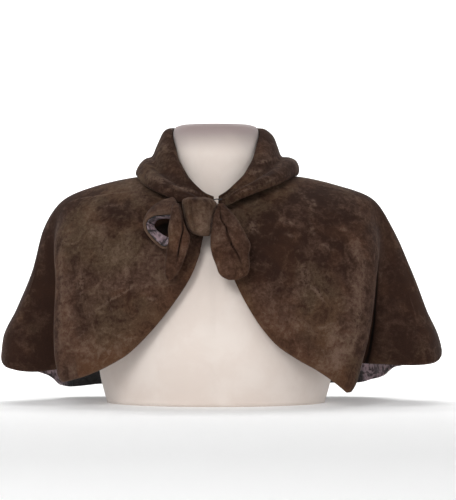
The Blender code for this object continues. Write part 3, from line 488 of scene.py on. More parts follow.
def through(points, count, closed=False):
    """Points spread along a smooth curve through the given ones."""
    points = np.asarray(points, float)
    n = len(points)
    place = np.linspace(0, n if closed else n - 1, count, endpoint=not closed)
    k = np.floor(place).astype(int)
    if not closed:
        k = np.minimum(k, n - 2)
    s = (place - k)[:, None]
    near = [(k + j) % n if closed else np.clip(k + j, 0, n - 1) for j in (-1, 0, 1, 2)]
    a, b, c, d = (points[i] for i in near)
    return 0.5 * (2 * b + (c - a) * s + (2 * a - 5 * b + 4 * c - d) * s**2 + (3 * b - a - 3 * c + d) * s**3)


def evenly(points, count):
    """An open line of points, spread again at equal distances."""
    run = along(points, 0)
    return np.stack([np.interp(np.linspace(0, run[-1], count), run, points[:, i])
                     for i in range(points.shape[1])], axis=1)


def along(points, axis):
    """The distance from the first point along one axis of a grid."""
    steps = np.linalg.norm(np.diff(points, axis=axis), axis=-1)
    start = np.zeros_like(np.take(steps, [0], axis=axis))
    return np.concatenate([start, np.cumsum(steps, axis=axis)], axis=axis)


def tight_ends(count, length, start, end):
    """Places from 0 to 1, set closer together by an end whose cloth is rounded over that distance."""
    places = set(np.round(np.linspace(0, 1, count + 1), 6))
    for share in (0.08, 0.25, 0.5, 0.8, 1.3, 2.0):
        places |= {round(start * share / length, 6), round(1 - end * share / length, 6)}
    places = np.array(sorted(places))
    keep = np.concatenate([[True], np.diff(places) > 1e-5])
    return places[keep]


def grid_normals(points):
    """Directions out of a grid whose first axis runs to the right and whose second runs down."""
    normal = np.cross(np.gradient(points, axis=1), np.gradient(points, axis=0))
    return normal / np.maximum(np.linalg.norm(normal, axis=-1, keepdims=True), 1e-12)


def rounded(distance, half):
    """Half the thickness of cloth at a distance from its edge, rounded like a half tube."""
    near = 1 - np.minimum(distance / half, 1.0)
    return half * np.maximum(np.sqrt(np.maximum(1 - near**2, 0)), 0.10)


def line_distance(first, second, points):
    """The distance of each point from a straight line between two points, and the place along it."""
    run = second - first
    place = np.clip(((points - first) @ run) / float(run @ run), 0, 1)
    return np.linalg.norm(points - first - place[..., None] * run, axis=-1), place


def soft_lines(lines, places, scale):
    """The heights and the rubbing of the given lines, with painted shade in their troughs, at places scaled
    to metres. Each line fades out towards its ends."""
    out, rub = np.zeros(places.shape[:-1]), np.zeros(places.shape[:-1])
    for first, middle, last, width, height in lines:
        path = through(np.array([first, middle, last], float), 9)
        best, share = np.full(out.shape, 9.0), np.zeros(out.shape)
        for k in range(len(path) - 1):
            here = (path[k] + path[k + 1]) / 2
            factor = scale(here)
            distance, place = line_distance(path[k] * factor, path[k + 1] * factor, places * factor)
            nearer = distance < best
            best = np.where(nearer, distance, best)
            share = np.where(nearer, (k + place) / (len(path) - 1), share)
        fade = np.sqrt(np.clip(np.sin(math.pi * np.clip(share, 0.02, 0.98)), 0, 1))
        profile = np.exp(-((best / width) ** 2)) * fade
        out += height * profile
        # Ridges are rubbed light; troughs get painted shade.
        rub += np.sign(height) * profile * min(1.0, abs(height) / 0.0008)
    return out, rub


# ---------------------------------------------------------------------------------------------
# The capelet's surface
# ---------------------------------------------------------------------------------------------


def section(name, level):
    """A column of SECTIONS at a level from 0, the neck seam, to LAST_SECTION."""
    return smooth_curve(range(len(SECTIONS)), column(SECTIONS, SECTION_COLUMNS, name), level)


def wrapped(angle):
    """The angle between -180 and 180 degrees."""
    return (np.asarray(angle, float) + 180.0) % 360.0 - 180.0


def body_turn(angle, level):
    """Where round the body a column of the cloth is at a level, in radians."""
    angle = wrapped(angle)
    left = angle < 0
    slant = np.where(left, -FOLD_SLANT[0], FOLD_SLANT[1])
    share = np.sin(math.pi * np.minimum(abs(angle), SLANT_SPAN) / SLANT_SPAN) * section("lean", level)
    return np.radians(angle + slant * share)


def fold_out(angle, level):
    """How far the folds move the cloth outwards."""
    total = 0.0
    for _, middle, width, out, begins in FOLDS:
        grown = np.maximum((level - begins) / (LAST_SECTION - begins), 0.0) ** FOLD_GROWTH
        total = total + out * grown * np.exp(-((wrapped(angle - middle) / width) ** 2))
    return total


def capelet_points(angle, level):
    """Points of the capelet's outer face, as the model has it."""
    turn = body_turn(angle, level)
    side, ahead = np.sin(turn), np.cos(turn)
    left, front = side < 0, ahead >= 0
    half_width = np.where(left, section("left_x", level), section("right_x", level))
    side_z = np.where(left, section("left_z", level), section("right_z", level))
    half_depth = np.where(front, section("front_y", level), section("back_y", level))
    middle_z = np.where(front, section("front_z", level), section("back_z", level))
    out = fold_out(angle, level)
    height = side_z * side**2 + middle_z * ahead**2
    return np.stack([(half_width + out) * side, -(half_depth + out) * ahead, height], axis=-1)


def hem_heights(angle, x):
    """The height of the lower edge: by distance from the middle, then by angle."""
    angle = wrapped(angle)
    heights = []
    for edge, hem in ((LEFT_EDGE, LEFT_HEM), (RIGHT_EDGE, RIGHT_HEM)):
        cut = table_curve(edge, EDGE_COLUMNS, "from_middle", "height", abs(x))
        low = table_curve(hem, HEM_COLUMNS, "angle", "height", abs(angle))
        heights.append(np.where(abs(angle) < hem[0][0], cut, low))
    return np.where(angle < 0, heights[0], heights[1])


def hem_levels(angles):
    """The level at which each column of the cloth reaches its lower edge."""
    low, high = np.zeros(len(angles)), np.full(len(angles), float(LAST_SECTION))
    for _ in range(34):
        middle = (low + high) / 2
        points = capelet_points(angles, middle)
        above = points[:, 2] > hem_heights(angles, points[:, 0])
        low, high = np.where(above, middle, low), np.where(above, high, middle)
    return (low + high) / 2


def cloth_scale(place):
    """Metres for a degree and for a level near a place on the panels."""
    reach = float(section("right_x", place[1]))
    return np.array([math.radians(reach), 0.043])


def edge_distances(points):
    """Distances along the cloth: from its lower edge, and from the nearest of its edges."""
    down, across = along(points, 1), along(points, 0)
    from_hem = down[:, -1:] - down
    nearest = np.minimum(np.minimum(from_hem, down), np.minimum(across, across[-1:] - across))
    return from_hem, nearest


def panel_surface(first, last, spacing, margin):
    """A panel's outer face between two angles, with its creases: points, angles, levels, and the rubbing and
    painted shade of the creases.
    """
    middle = np.linspace(first, last, 9)
    width = float(along(capelet_points(middle, np.full(9, WIDE_LEVEL)), 0)[-1])
    columns = tight_ends(int(width / spacing), width, margin, margin)
    angles = first + (last - first) * columns
    ends = hem_levels(angles)
    middle = capelet_points(np.full(30, angles.mean()), np.linspace(0, ends.mean(), 30))
    length_down = float(along(middle, 0)[-1])
    rows = tight_ends(int(length_down / spacing), length_down, margin, margin)
    level = ends[:, None] * rows[None, :]
    sides = []
    for i, at, way in ((0, first, 1), (-1, last, -1)):
        degree = capelet_points(at + 0.5, level[i]) - capelet_points(at - 0.5, level[i])
        sides.append(at + way * PANEL_GAP / 2 / np.linalg.norm(degree, axis=-1))
    angle = sides[0][None, :] + (sides[1] - sides[0])[None, :] * columns[:, None]
    points = capelet_points(angle, level)
    out, rub = soft_lines(PANEL_LINES, np.stack([angle, level], axis=-1), cloth_scale)
    for *place, height in PANEL_SWELLS:
        out += height * spot(angle, level, *place)
    return points + out[..., None] * grid_normals(points), angle, level, rub


def spot(angle, level, at_angle, at_level, degrees, levels):
    """A soft oval spot on the panels, 1 at its middle."""
    return np.exp(-((wrapped(angle - at_angle) / degrees) ** 2 + ((level - at_level) / levels) ** 2))


def pile_tone_and_painted_shade(angle, level):
    """How much lighter, or below 0 deeper, the panels look: by patches, with painted shade on the sides,
    painted light on the crests and painted shade in the hollows of the back's folds, and a painted shadow
    line in the right front fold.
    """
    lean = sum(amount * spot(angle, level, *place) for *place, amount in PANEL_PATCHES)
    turn = abs(wrapped(angle))
    # Painted shade on the sides of the cape.
    begins, full, fades, ends = SIDE_SHADE_ANGLES
    side = np.clip((turn - begins) / (full - begins), 0, 1) * np.clip((ends - turn) / (ends - fades), 0, 1)
    lean = lean - SIDE_PAINTED_SHADE * side * np.clip((level - 1.5) / 1.5, 0, 1)
    # Painted light on the crests and painted shade in the hollows of the back's folds.
    folds = np.clip(fold_out(angle, level) / 0.009, -1, 1)
    lean += BACK_FOLD_LIGHT_AND_SHADE * np.clip((turn - SIDE_SEAM) / 10, 0, 1) * folds
    # The painted shadow line in the right front fold.
    levels, angles, widths = np.array(FOLD_SHADE).T
    away = (wrapped(angle) - np.interp(level, levels, angles)) / np.interp(level, levels, widths)
    return lean - SHADE_LEAN * np.exp(-(away**2)) * np.clip((level - levels[0]) / 0.8, 0, 1)


# ---------------------------------------------------------------------------------------------
# Meshes
# ---------------------------------------------------------------------------------------------


def finish_piece(name, points, faces, materials, face_materials=None, uv=None, values=None):
    """A closed mesh with its faces turned outwards, smooth, with its cloth map and its named values."""
    points, faces = np.asarray(points, float), [tuple(int(i) for i in face) for face in faces]
    corners = np.array([(f[0], f[k], f[k + 1]) for f in faces for k in range(1, len(f) - 1)])
    a, b, c = (points[corners[:, i]] for i in range(3))
    if np.einsum("ij,ij->i", a, np.cross(b, c)).sum() < 0:
        faces = [face[::-1] for face in faces]
    mesh = bpy.data.meshes.new(name)
    mesh.from_pydata(points.tolist(), [], faces)
    mesh.shade_smooth()
    for material in materials:
        mesh.materials.append(material)
    if face_materials is not None:
        mesh.polygons.foreach_set("material_index", np.asarray(face_materials, np.int32))
    if uv is not None:
        corner = np.empty(len(mesh.loops), np.int32)
        mesh.loops.foreach_get("vertex_index", corner)
        layer = mesh.uv_layers.new(name="Cloth")
        layer.data.foreach_set("uv", np.asarray(uv, np.float32)[corner].ravel())
    for value_name, value in (values or {}).items():
        attribute = mesh.attributes.new(value_name, "FLOAT", "POINT")
        attribute.data.foreach_set("value", np.asarray(value, np.float32).ravel())
    mesh.validate()
    mesh.update()
    obj = bpy.data.objects.new(name, mesh)
    bpy.context.scene.collection.objects.link(obj)
    return obj


def shell_faces(columns, rows, ring=False):
    """Faces of a shell whose points are the outer grid, then the inner one turned upside down."""
    width = 2 * rows
    ids = np.arange(columns * width).reshape(columns, width)
    after = np.roll(ids, -1, axis=0)
    count = columns if ring else columns - 1
    here, ahead = ids[:count], after[:count]
    quads = np.stack([here, np.roll(here, -1, axis=1), np.roll(ahead, -1, axis=1), ahead], axis=-1)
    faces = quads.reshape(-1, 4).tolist()
    inner = np.tile(np.arange(width) >= rows, count)
    inner &= np.tile(np.arange(width) < width - 1, count)
    inner = inner.tolist()
    if not ring:
        for i, turned in ((0, True), (columns - 1, False)):
            for row in range(rows - 1):
                face = [ids[i][row], ids[i][row + 1], ids[i][width - 2 - row], ids[i][width - 1 - row]]
                faces.append(face[::-1] if not turned else face)
                inner.append(False)
    return faces, inner


def make_shell(name, outer, inner, materials, inner_is=0, uv=None, ring=False, inner_where=None, **values):
    """A closed piece of cloth between two matched grids of points."""
    columns, rows = outer.shape[:2]

    def both(grid):
        return np.concatenate([grid, grid[:, ::-1]], axis=1).reshape(columns * 2 * rows, *grid.shape[2:])

    points = np.concatenate([outer, inner[:, ::-1]], axis=1).reshape(-1, 3)
    faces, is_inner = shell_faces(columns, rows, ring)
    is_inner = np.array(is_inner)
    if inner_where is not None:
        wanted = both(inner_where)
        is_inner &= np.array([all(wanted[i] for i in face) for face in faces])
    zero = np.zeros((columns, rows))
    values = {value: both(values.get(value, zero)) for value in ("rub", "edge", "warm", "lean")}
    return finish_piece(name, points, faces, materials, np.where(is_inner, inner_is, 0),
                        None if uv is None else both(uv), values)


def make_tube(name, grid, materials, uv=None, values=None):
    """A closed piece through rings of points: its first axis runs round, and its second runs along."""
    sides, rings = grid.shape[:2]
    ids = np.arange(sides * rings).reshape(sides, rings)
    here, ahead = ids[:, :-1], np.roll(ids, -1, axis=0)[:, :-1]
    quads = np.stack([here, ids[:, 1:], np.roll(ids, -1, axis=0)[:, 1:], ahead], axis=-1)
    points = np.concatenate([grid.reshape(-1, 3), grid[:, 0].mean(0)[None], grid[:, -1].mean(0)[None]])
    faces = quads.reshape(-1, 4).tolist()
    for i in range(sides):
        j = (i + 1) % sides
        faces.append([sides * rings, ids[i][0], ids[j][0]])
        faces.append([sides * rings + 1, ids[j][-1], ids[i][-1]])
    if uv is not None:
        uv = np.concatenate([uv.reshape(-1, 2), uv[:, 0].mean(0)[None], uv[:, -1].mean(0)[None]])
    values = {name_: np.concatenate([value.ravel(), [value[:, 0].mean(), value[:, -1].mean()]])
              for name_, value in (values or {}).items()}
    return finish_piece(name, points, faces, materials, None, uv, values)


def tube_map(grid):
    """The map of a tube's cloth in metres: round it, and along it."""
    around = along(np.concatenate([grid, grid[:1]]), 0)[:-1]
    return np.stack([around, along(grid, 1)], axis=-1)


def stand_for(obj, node):
    """The piece moves with the body and takes the place of its node."""
    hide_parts(node)
    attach(obj, "root")
    return obj


# ---------------------------------------------------------------------------------------------
# Materials
# ---------------------------------------------------------------------------------------------


def new_material(name):
    """An empty node material, its tree and its shader, already joined to the output."""
    material = bpy.data.materials.new(name)
    material.use_nodes = True
    tree = material.node_tree
    shader = tree.nodes["Principled BSDF"]
    return material, tree, shader


def node(tree, kind, inputs=None, **settings):
    """A node with its settings, and its inputs given as values or as sockets to link."""
    made = tree.nodes.new(kind)
    made.location = (-190 * (len(tree.nodes) % 9) - 220, 230 * (len(tree.nodes) // 9) - 200)
    for name, value in settings.items():
        setattr(made, name, value)
    for name, value in (inputs or {}).items():
        if isinstance(value, bpy.types.NodeSocket):
            tree.links.new(value, made.inputs[name])
        else:
            made.inputs[name].default_value = value
    return made


def maths(tree, operation, first, second=0.0):
    return node(tree, "ShaderNodeMath", {0: first, 1: second}, operation=operation).outputs[0]


def times(tree, first, second):
    return maths(tree, "MULTIPLY", first, second)


def weighted(tree, *terms):
    """The sum of values, each given with its weight."""
    total = times(tree, *terms[0])
    for term in terms[1:]:
        total = maths(tree, "ADD", total, times(tree, *term))
    return total


def fitted(tree, value, low, high, to_low=0.0, to_high=1.0):
    """A value moved from one range to another, smoothly and without leaving it."""
    made = node(tree, "ShaderNodeMapRange", {"Value": value, "From Min": low, "From Max": high,
                                             "To Min": to_low, "To Max": to_high},
                interpolation_type="SMOOTHSTEP")
    return made.outputs["Result"]


def mixed(tree, share, first, second, blend="MIX"):
    made = node(tree, "ShaderNodeMix", {0: share, 6: first, 7: second}, data_type="RGBA", blend_type=blend)
    return made.outputs[2]


def noise(tree, place, scale, detail=3.0, roughness=0.55, distortion=0.0):
    made = node(tree, "ShaderNodeTexNoise", {"Vector": place, "Scale": scale, "Detail": detail,
                                             "Roughness": roughness, "Distortion": distortion})
    return made.outputs["Fac"]


def waves(tree, place, scale, distortion, direction, detail=2.0):
    made = node(tree, "ShaderNodeTexWave", {"Vector": place, "Scale": scale, "Distortion": distortion,
                                            "Detail": detail}, bands_direction=direction)
    return made.outputs["Fac"]


def object_place(tree):
    return node(tree, "ShaderNodeTexCoord").outputs["Object"]


def cloth_place(tree, across=1.0, down=1.0):
    """The place on the cloth, scaled across it and down it."""
    cloth = node(tree, "ShaderNodeUVMap", uv_map="Cloth").outputs["UV"]
    if (across, down) == (1.0, 1.0):
        return cloth
    return node(tree, "ShaderNodeMapping", {"Vector": cloth, "Scale": (across, down, 1.0)}).outputs[0]


def point_value(tree, name):
    """One of the values that the mesh has at its points."""
    return node(tree, "ShaderNodeAttribute", attribute_name=name).outputs["Fac"]


def scaled(tree, colour, factor):
    return node(tree, "ShaderNodeVectorMath", {0: colour, 3: factor}, operation="SCALE").outputs[0]


def shade(colour, *factors):
    """A colour made deeper, by one factor or by one for each channel."""
    factors = factors * 3 if len(factors) == 1 else factors
    return tuple(c * f for c, f in zip(colour[:3], factors)) + (1.0,)


def join_shader(tree, shader, colour, roughness, height, strength=1.0):
    """Join the colour, the roughness and the relief, in metres, to the shader."""
    bump = node(tree, "ShaderNodeBump", {"Height": height, "Strength": strength, "Distance": 1.0})
    tree.links.new(colour, shader.inputs["Base Color"])
    tree.links.new(roughness, shader.inputs["Roughness"])
    tree.links.new(bump.outputs["Normal"], shader.inputs["Normal"])


def velvet_material(colours):
    """Short pile: cloudy where it leans different ways, light along rubbed creases, with painted highlights
    along its edges, painted shade in the hollows of creases and folds, a painted shadow where the lean value
    is far below 0, and grainy close up."""
    material, tree, shader = new_material("brown_velvet")
    place = object_place(tree)
    rub, edge, warmth, lean = (point_value(tree, name) for name in ("rub", "edge", "warm", "lean"))
    clouds = noise(tree, place, 19.0, 3.0, 0.55, 0.5)
    blotches = noise(tree, place, 66.0, 4.0, 0.60, 0.9)
    mottle = noise(tree, place, 230.0, 3.0, 0.62, 0.5)
    strokes = noise(tree, cloth_place(tree, 330.0, 95.0), 1.0, 3.0, 0.6, 0.4)
    pile = noise(tree, cloth_place(tree, 1500.0, 620.0), 1.0, 2.0, 0.6)
    # The tone takes in the lean value, so its deep and light ends also carry painted shade and painted light.
    tone = weighted(tree, (clouds, 0.29), (blotches, 0.35), (strokes, 0.10), (mottle, 0.26), (lean, 0.075))
    pressed_and_shaded = fitted(tree, tone, 0.39, 0.56)
    brown = mixed(tree, pressed_and_shaded, tuple(colours.velvet_deep_and_shade), tuple(colours.velvet))
    olive = fitted(tree, noise(tree, place, 13.0, 2.0, 0.5, 0.4), 0.44, 0.62, 0.0, 0.7)
    olive = maths(tree, "MAXIMUM", olive, times(tree, warmth, -1.0))
    brown = mixed(tree, times(tree, olive, pressed_and_shaded), brown, tuple(colours.velvet_olive))
    warm = fitted(tree, noise(tree, place, 24.0, 3.0, 0.5, 0.4), 0.46, 0.66, 0.0, 0.35)
    warm = maths(tree, "ADD", warm, times(tree, maths(tree, "MAXIMUM", warmth, 0.0), 0.55))
    warm = times(tree, maths(tree, "MINIMUM", warm, 0.85), fitted(tree, tone, 0.36, 0.60, 0.35, 1.0))
    brown = mixed(tree, warm, brown, tuple(colours.velvet_warm))
    frayed = fitted(tree, weighted(tree, (strokes, 0.3), (mottle, 0.7)), 0.38, 0.58, 0.10, 1.0)
    worn = times(tree, maths(tree, "MAXIMUM", rub, 0.0), frayed)
    # Light tone, rubbed wear, and a painted highlight along the edges.
    light = maths(tree, "MAXIMUM", fitted(tree, tone, 0.505, 0.66, 0.0, 0.72), worn)
    light = maths(tree, "MAXIMUM", light, times(tree, edge, 0.42))
    brown = mixed(tree, light, brown, tuple(colours.velvet_rubbed))
    # Painted shade in creases and fold hollows, where the rub value is below 0.
    painted_crease_shade = times(tree, maths(tree, "MINIMUM", rub, 0.0), -0.62)
    brown = mixed(tree, painted_crease_shade, brown, tuple(colours.velvet_deep_and_shade))
    # Painted shadow: where the lean value is far below 0 the colour goes nearly black.
    grain_and_painted_shadow = times(tree, fitted(tree, pile, 0.3, 0.7, 0.80, 1.20), fitted(tree, lean, -3.0, -1.6, 0.12, 1.0))
    height = weighted(tree, (pile, 0.00022), (blotches, 0.00100), (mottle, 0.00035))
    roughness = fitted(tree, pile, 0.3, 0.7, 0.78, 0.95)
    join_shader(tree, shader, scaled(tree, brown, grain_and_painted_shadow), roughness, height, 0.9)
    shader.inputs["Specular IOR Level"].default_value = 0.08
    shader.inputs["Sheen Weight"].default_value = 0.06
    shader.inputs["Sheen Roughness"].default_value = 0.5
    shader.inputs["Sheen Tint"].default_value = (0.70, 0.55, 0.48, 1)
    return material


def satin_material(colours):
    """Mauve grey satin: a fine weave, soft stains, painted shade in the hollows of its crumples and where its
    lean value is below 0, and a shine that runs across its puckers.
    """
    material, tree, shader = new_material("mauve_satin")
    place = object_place(tree)
    stains = noise(tree, place, 34.0, 4.0, 0.6, 0.4)
    crumple = noise(tree, place, 150.0, 3.0, 0.5, 0.9)
    threads = waves(tree, cloth_place(tree), 420.0, 0.6, "DIAGONAL", 1.0)
    # Soft stains and painted shade in the hollows of the crumples, which also drive the relief.
    mauve = mixed(tree, fitted(tree, weighted(tree, (stains, 0.35), (crumple, 0.65)), 0.42, 0.57),
                  shade(colours.satin, 0.13), tuple(colours.satin))
    # Painted shade: the satin goes darker where its lean value is below 0, in the cape's shadow and in the
    # loop's pleats.
    mauve = scaled(tree, mauve, fitted(tree, point_value(tree, "lean"), -1.0, 0.0, 0.01, 1.0))
    height = weighted(tree, (crumple, 0.0026), (threads, 0.00003))
    join_shader(tree, shader, mauve, fitted(tree, stains, 0.3, 0.7, 0.30, 0.46), height, 0.8)
    shader.inputs["Specular IOR Level"].default_value = 0.55
    shader.inputs["Sheen Weight"].default_value = 0.10
    shader.inputs["Anisotropic"].default_value = 0.35
    return material


def cord_material(colours):
    """Black twisted cord."""
    material, tree, shader = new_material("black_cord")
    plies = waves(tree, cloth_place(tree), 320.0, 0.5, "DIAGONAL")
    black = mixed(tree, plies, tuple(colours.cord), shade(colours.cord, 2.2))
    join_shader(tree, shader, black, fitted(tree, plies, 0.0, 1.0, 0.7, 0.5), times(tree, plies, 0.0002))
    return material


def thread_material(colours):
    """Mauve sewing thread, a shade deeper than the satin."""
    material, tree, shader = new_material("mauve_thread")
    plies = noise(tree, object_place(tree), 2600.0, 2.0)
    mauve = mixed(tree, fitted(tree, plies, 0.35, 0.65), shade(colours.satin, 0.3),
                  shade(colours.satin, 0.55))
    join_shader(tree, shader, mauve, fitted(tree, plies, 0.3, 0.7, 0.62, 0.45), times(tree, plies, 0.0001))
    return material


def jersey_material(colours):
    """Plain off-white jersey with fine ribs of knitting, and painted shade towards the top of the neck."""
    material, tree, shader = new_material("white_jersey")
    place, cloth = object_place(tree), cloth_place(tree)
    ribs, loops = waves(tree, cloth, 260.0, 0.8, "X"), waves(tree, cloth, 330.0, 1.0, "Y")
    soil = noise(tree, place, 18.0, 4.0, 0.6, 0.3)
    white = mixed(tree, fitted(tree, soil, 0.38, 0.66), shade(colours.jersey, 0.95, 0.93, 0.92),
                  tuple(colours.jersey))
    # Painted shade towards the top of the neck, broken by the blotches.
    height = node(tree, "ShaderNodeSeparateXYZ", {0: place}).outputs["Z"]
    height = maths(tree, "ADD", height, times(tree, soil, 0.012))
    white = mixed(tree, fitted(tree, height, *NECK_SHADE_HEIGHTS, 0.0, 0.9), white, NECK_SHADE)
    knit = weighted(tree, (ribs, 0.00006), (loops, 0.00003))
    join_shader(tree, shader, white, fitted(tree, soil, 0.3, 0.7, 0.82, 0.68), knit, 0.7)
    shader.inputs["Specular IOR Level"].default_value = 0.25
    shader.inputs["Sheen Weight"].default_value = 0.25
    return material


def floor_material(colours):
    """Pale matt floor and backdrop."""
    material, tree, shader = new_material("pale_floor")
    pale = mixed(tree, noise(tree, object_place(tree), 9.0), shade(colours.floor, 0.985),
                 tuple(colours.floor))
    tree.links.new(pale, shader.inputs["Base Color"])
    shader.inputs["Roughness"].default_value = 0.9
    shader.inputs["Specular IOR Level"].default_value = 0.0
    shader.inputs["Emission Color"].default_value = (1.0, 1.0, 1.0, 1)
    shader.inputs["Emission Strength"].default_value = FLOOR_GLOW
    return material


MAKERS = {"velvet": velvet_material, "satin": satin_material, "thread": thread_material,
          "cord": cord_material, "jersey": jersey_material, "floor": floor_material}
FINISHES = {}


def finish(context, name):
    """One of the finishes, made the first time that it is asked for."""
    if name not in FINISHES:
        FINISHES[name] = MAKERS[name](context.scene.capelet_colours)
    return FINISHES[name]


# ---------------------------------------------------------------------------------------------
# Pieces
# ---------------------------------------------------------------------------------------------


def cloth_map(points):
    """The cloth's own map in metres: across along the first axis, and down along the second."""
    across = along(points, 0)[:, points.shape[1] // 2]
    down = along(points, 1)
    return np.stack([np.broadcast_to(across[:, None], down.shape), down], axis=-1)


def hem_ripple(angle, from_hem):
    """Small uneven ripples of a hand-turned hem."""
    wave = (np.sin(np.radians(angle) * 47 + 1.3) + 0.7 * np.sin(np.radians(angle) * 71 + 0.4)
            + 0.5 * np.sin(np.radians(angle) * 113 + 2.2))
    return 0.00022 * wave * np.exp(-from_hem / 0.009)


# The back and its lining have wider spacing than the fronts, by these factors.
BACK_COARSER, LINING_COARSER = 1.3, 1.6
HEM_ROLL_REACH = 0.008
THREAD_OFF = 0.00012  # how far the line of the slip stitches is off the cloth
SEAM_POINTS = 6  # columns by a seam that the slip stitches leave out
LINING_MARGIN = 0.0006
LINING_SHADE = ((-1, 112, 6), (1, 118.5, 3))  # side, where the dark begins and its fading, in degrees
LINING_SHADE_ENDS = 165
FACING_EDGE = 0.006  # from the hem to the edge of the satin inside the fronts
STITCHED_LINES = {}  # the lines that the slip stitches follow, left here by the pieces that they hold


def hem_roll(sizes, from_hem):
    """How far the turned edge has rolled inwards, at a distance from it."""
    return sizes.edge_roll * np.clip(1 - from_hem / HEM_ROLL_REACH, 0, 1) ** 2


def facing_line(inner, normal, from_hem):
    """The line along the edge of the satin facing, just off the cloth."""
    share = np.array([np.interp(FACING_EDGE, run[::-1], np.arange(len(run))[::-1]) for run in from_hem])
    low = np.floor(share).astype(int)
    at = (share - low)[:, None]
    ids = np.arange(len(low))
    line = inner[ids, low] * (1 - at) + inner[ids, low + 1] * at - THREAD_OFF * normal[ids, low]
    return line[SEAM_POINTS:-SEAM_POINTS]


def make_panel(context, name, node_name, first, last, spacing, facing):
    """One velvet panel: rounded at its seams, rolled inwards along its hem, and faced with satin inside
    where facing says so."""
    sizes = context.scene.capelet_sizes
    half = sizes.velvet / 2
    points, angle, level, rub = panel_surface(first, last, spacing, half)
    from_hem, nearest = edge_distances(points)
    out = hem_ripple(angle, from_hem) - hem_roll(sizes, from_hem)
    surface = points + out[..., None] * grid_normals(points)
    normal = grid_normals(surface)
    middle, thickness = surface - half * normal, rounded(nearest, half)[..., None]
    outer, inner = middle + thickness * normal, middle - thickness * normal
    if facing:
        STITCHED_LINES[name] = facing_line(inner, normal, from_hem)
    # Painted shade in the hollows of the folds.
    rub = rub - 0.70 * np.clip(-fold_out(angle, level) / 0.012, 0, 1)
    warm = np.exp(-((from_hem / 0.035) ** 2)) * (abs(wrapped(angle)) < 34)
    warm = warm * np.clip((level - 3.0) / 1.5, 0, 1)
    # The edge value paints a highlight along the hem, and the lean value carries painted shade and painted
    # light.
    obj = make_shell(name, outer, inner, [finish(context, "velvet"), finish(context, "satin")],
                     inner_is=int(facing), inner_where=from_hem > FACING_EDGE if facing else None,
                     uv=cloth_map(points), rub=rub, edge=np.exp(-((from_hem / 0.0016) ** 2)), warm=warm,
                     lean=pile_tone_and_painted_shade(angle, level))
    return stand_for(obj, node_name)


class CAPELET_OT_back(bpy.types.Operator):
    """Make the velvet back, from one side seam round to the other"""
    bl_idname = "capelet.back"
    bl_label = "Back"

    def execute(self, context):
        spacing = context.scene.capelet_detail.panel_spacing * BACK_COARSER
        back = make_panel(context, "velvet_back", "back_panel", SIDE_SEAM, 360 - SIDE_SEAM, spacing, False)
        return {"FINISHED"}


class CAPELET_OT_fronts(bpy.types.Operator):
    """Make the two cutaway fronts, faced with satin inside"""
    bl_idname = "capelet.fronts"
    bl_label = "Fronts"

    def execute(self, context):
        spacing = context.scene.capelet_detail.panel_spacing
        left = make_panel(context, "velvet_front_left", "front_left", -SIDE_SEAM, -LEFT_START, spacing, True)
        right = make_panel(context, "velvet_front_right", "front_right", RIGHT_START, SIDE_SEAM,
                           spacing, True)
        return {"FINISHED"}


def lining_painted_shade(points):
    """The painted shade on the lining of the back, where it lies in the shadow of the cape."""
    place = np.degrees(np.arctan2(points[..., 0], -points[..., 1]))
    under = np.zeros(place.shape)
    for side, begins, fade in LINING_SHADE:
        full = np.clip((side * place - begins) / fade, 0, 1)
        under = np.maximum(under, full * np.clip((LINING_SHADE_ENDS - side * place) / 20, 0, 1))
    return -0.95 * under


class CAPELET_OT_back_lining(bpy.types.Operator):
    """Make the satin lining of the back, eased in so that it puckers a little above the hem"""
    bl_idname = "capelet.back_lining"
    bl_label = "Back lining"

    def execute(self, context):
        sizes, detail = context.scene.capelet_sizes, context.scene.capelet_detail
        spacing = detail.panel_spacing * LINING_COARSER
        points, angle, _, _ = panel_surface(SIDE_SEAM, 360 - SIDE_SEAM, spacing, LINING_MARGIN)
        from_hem, _ = edge_distances(points)
        turn = np.radians(angle)
        pucker = np.sin(turn * 53 + 0.6) + 0.8 * np.sin(turn * 83 + 2.0) + 0.6 * np.sin(turn * 131 + 4.1)
        ripple = np.sin(turn * 29 + from_hem * 190 + 1.1)
        eased = 0.0013 * (0.5 + 0.5 * (pucker / 2.4)) * np.exp(-(((from_hem - 0.010) / 0.010) ** 2))
        eased += 0.0008 * (0.5 + 0.5 * ripple) * np.exp(-(((from_hem - 0.03) / 0.02) ** 2))
        reach = sizes.velvet + sizes.seam + hem_roll(sizes, from_hem) + eased
        shown = points - reach[..., None] * grid_normals(points)
        inside = grid_normals(shown)
        inner = shown - sizes.lining * inside
        STITCHED_LINES["satin_back"] = (inner - THREAD_OFF * inside)[SEAM_POINTS:-SEAM_POINTS, -5]
        obj = make_shell("satin_back", shown, inner, [finish(context, "satin")], uv=cloth_map(points),
                         lean=lining_painted_shade(points))
        stand_for(obj, "lining_back")
        return {"FINISHED"}


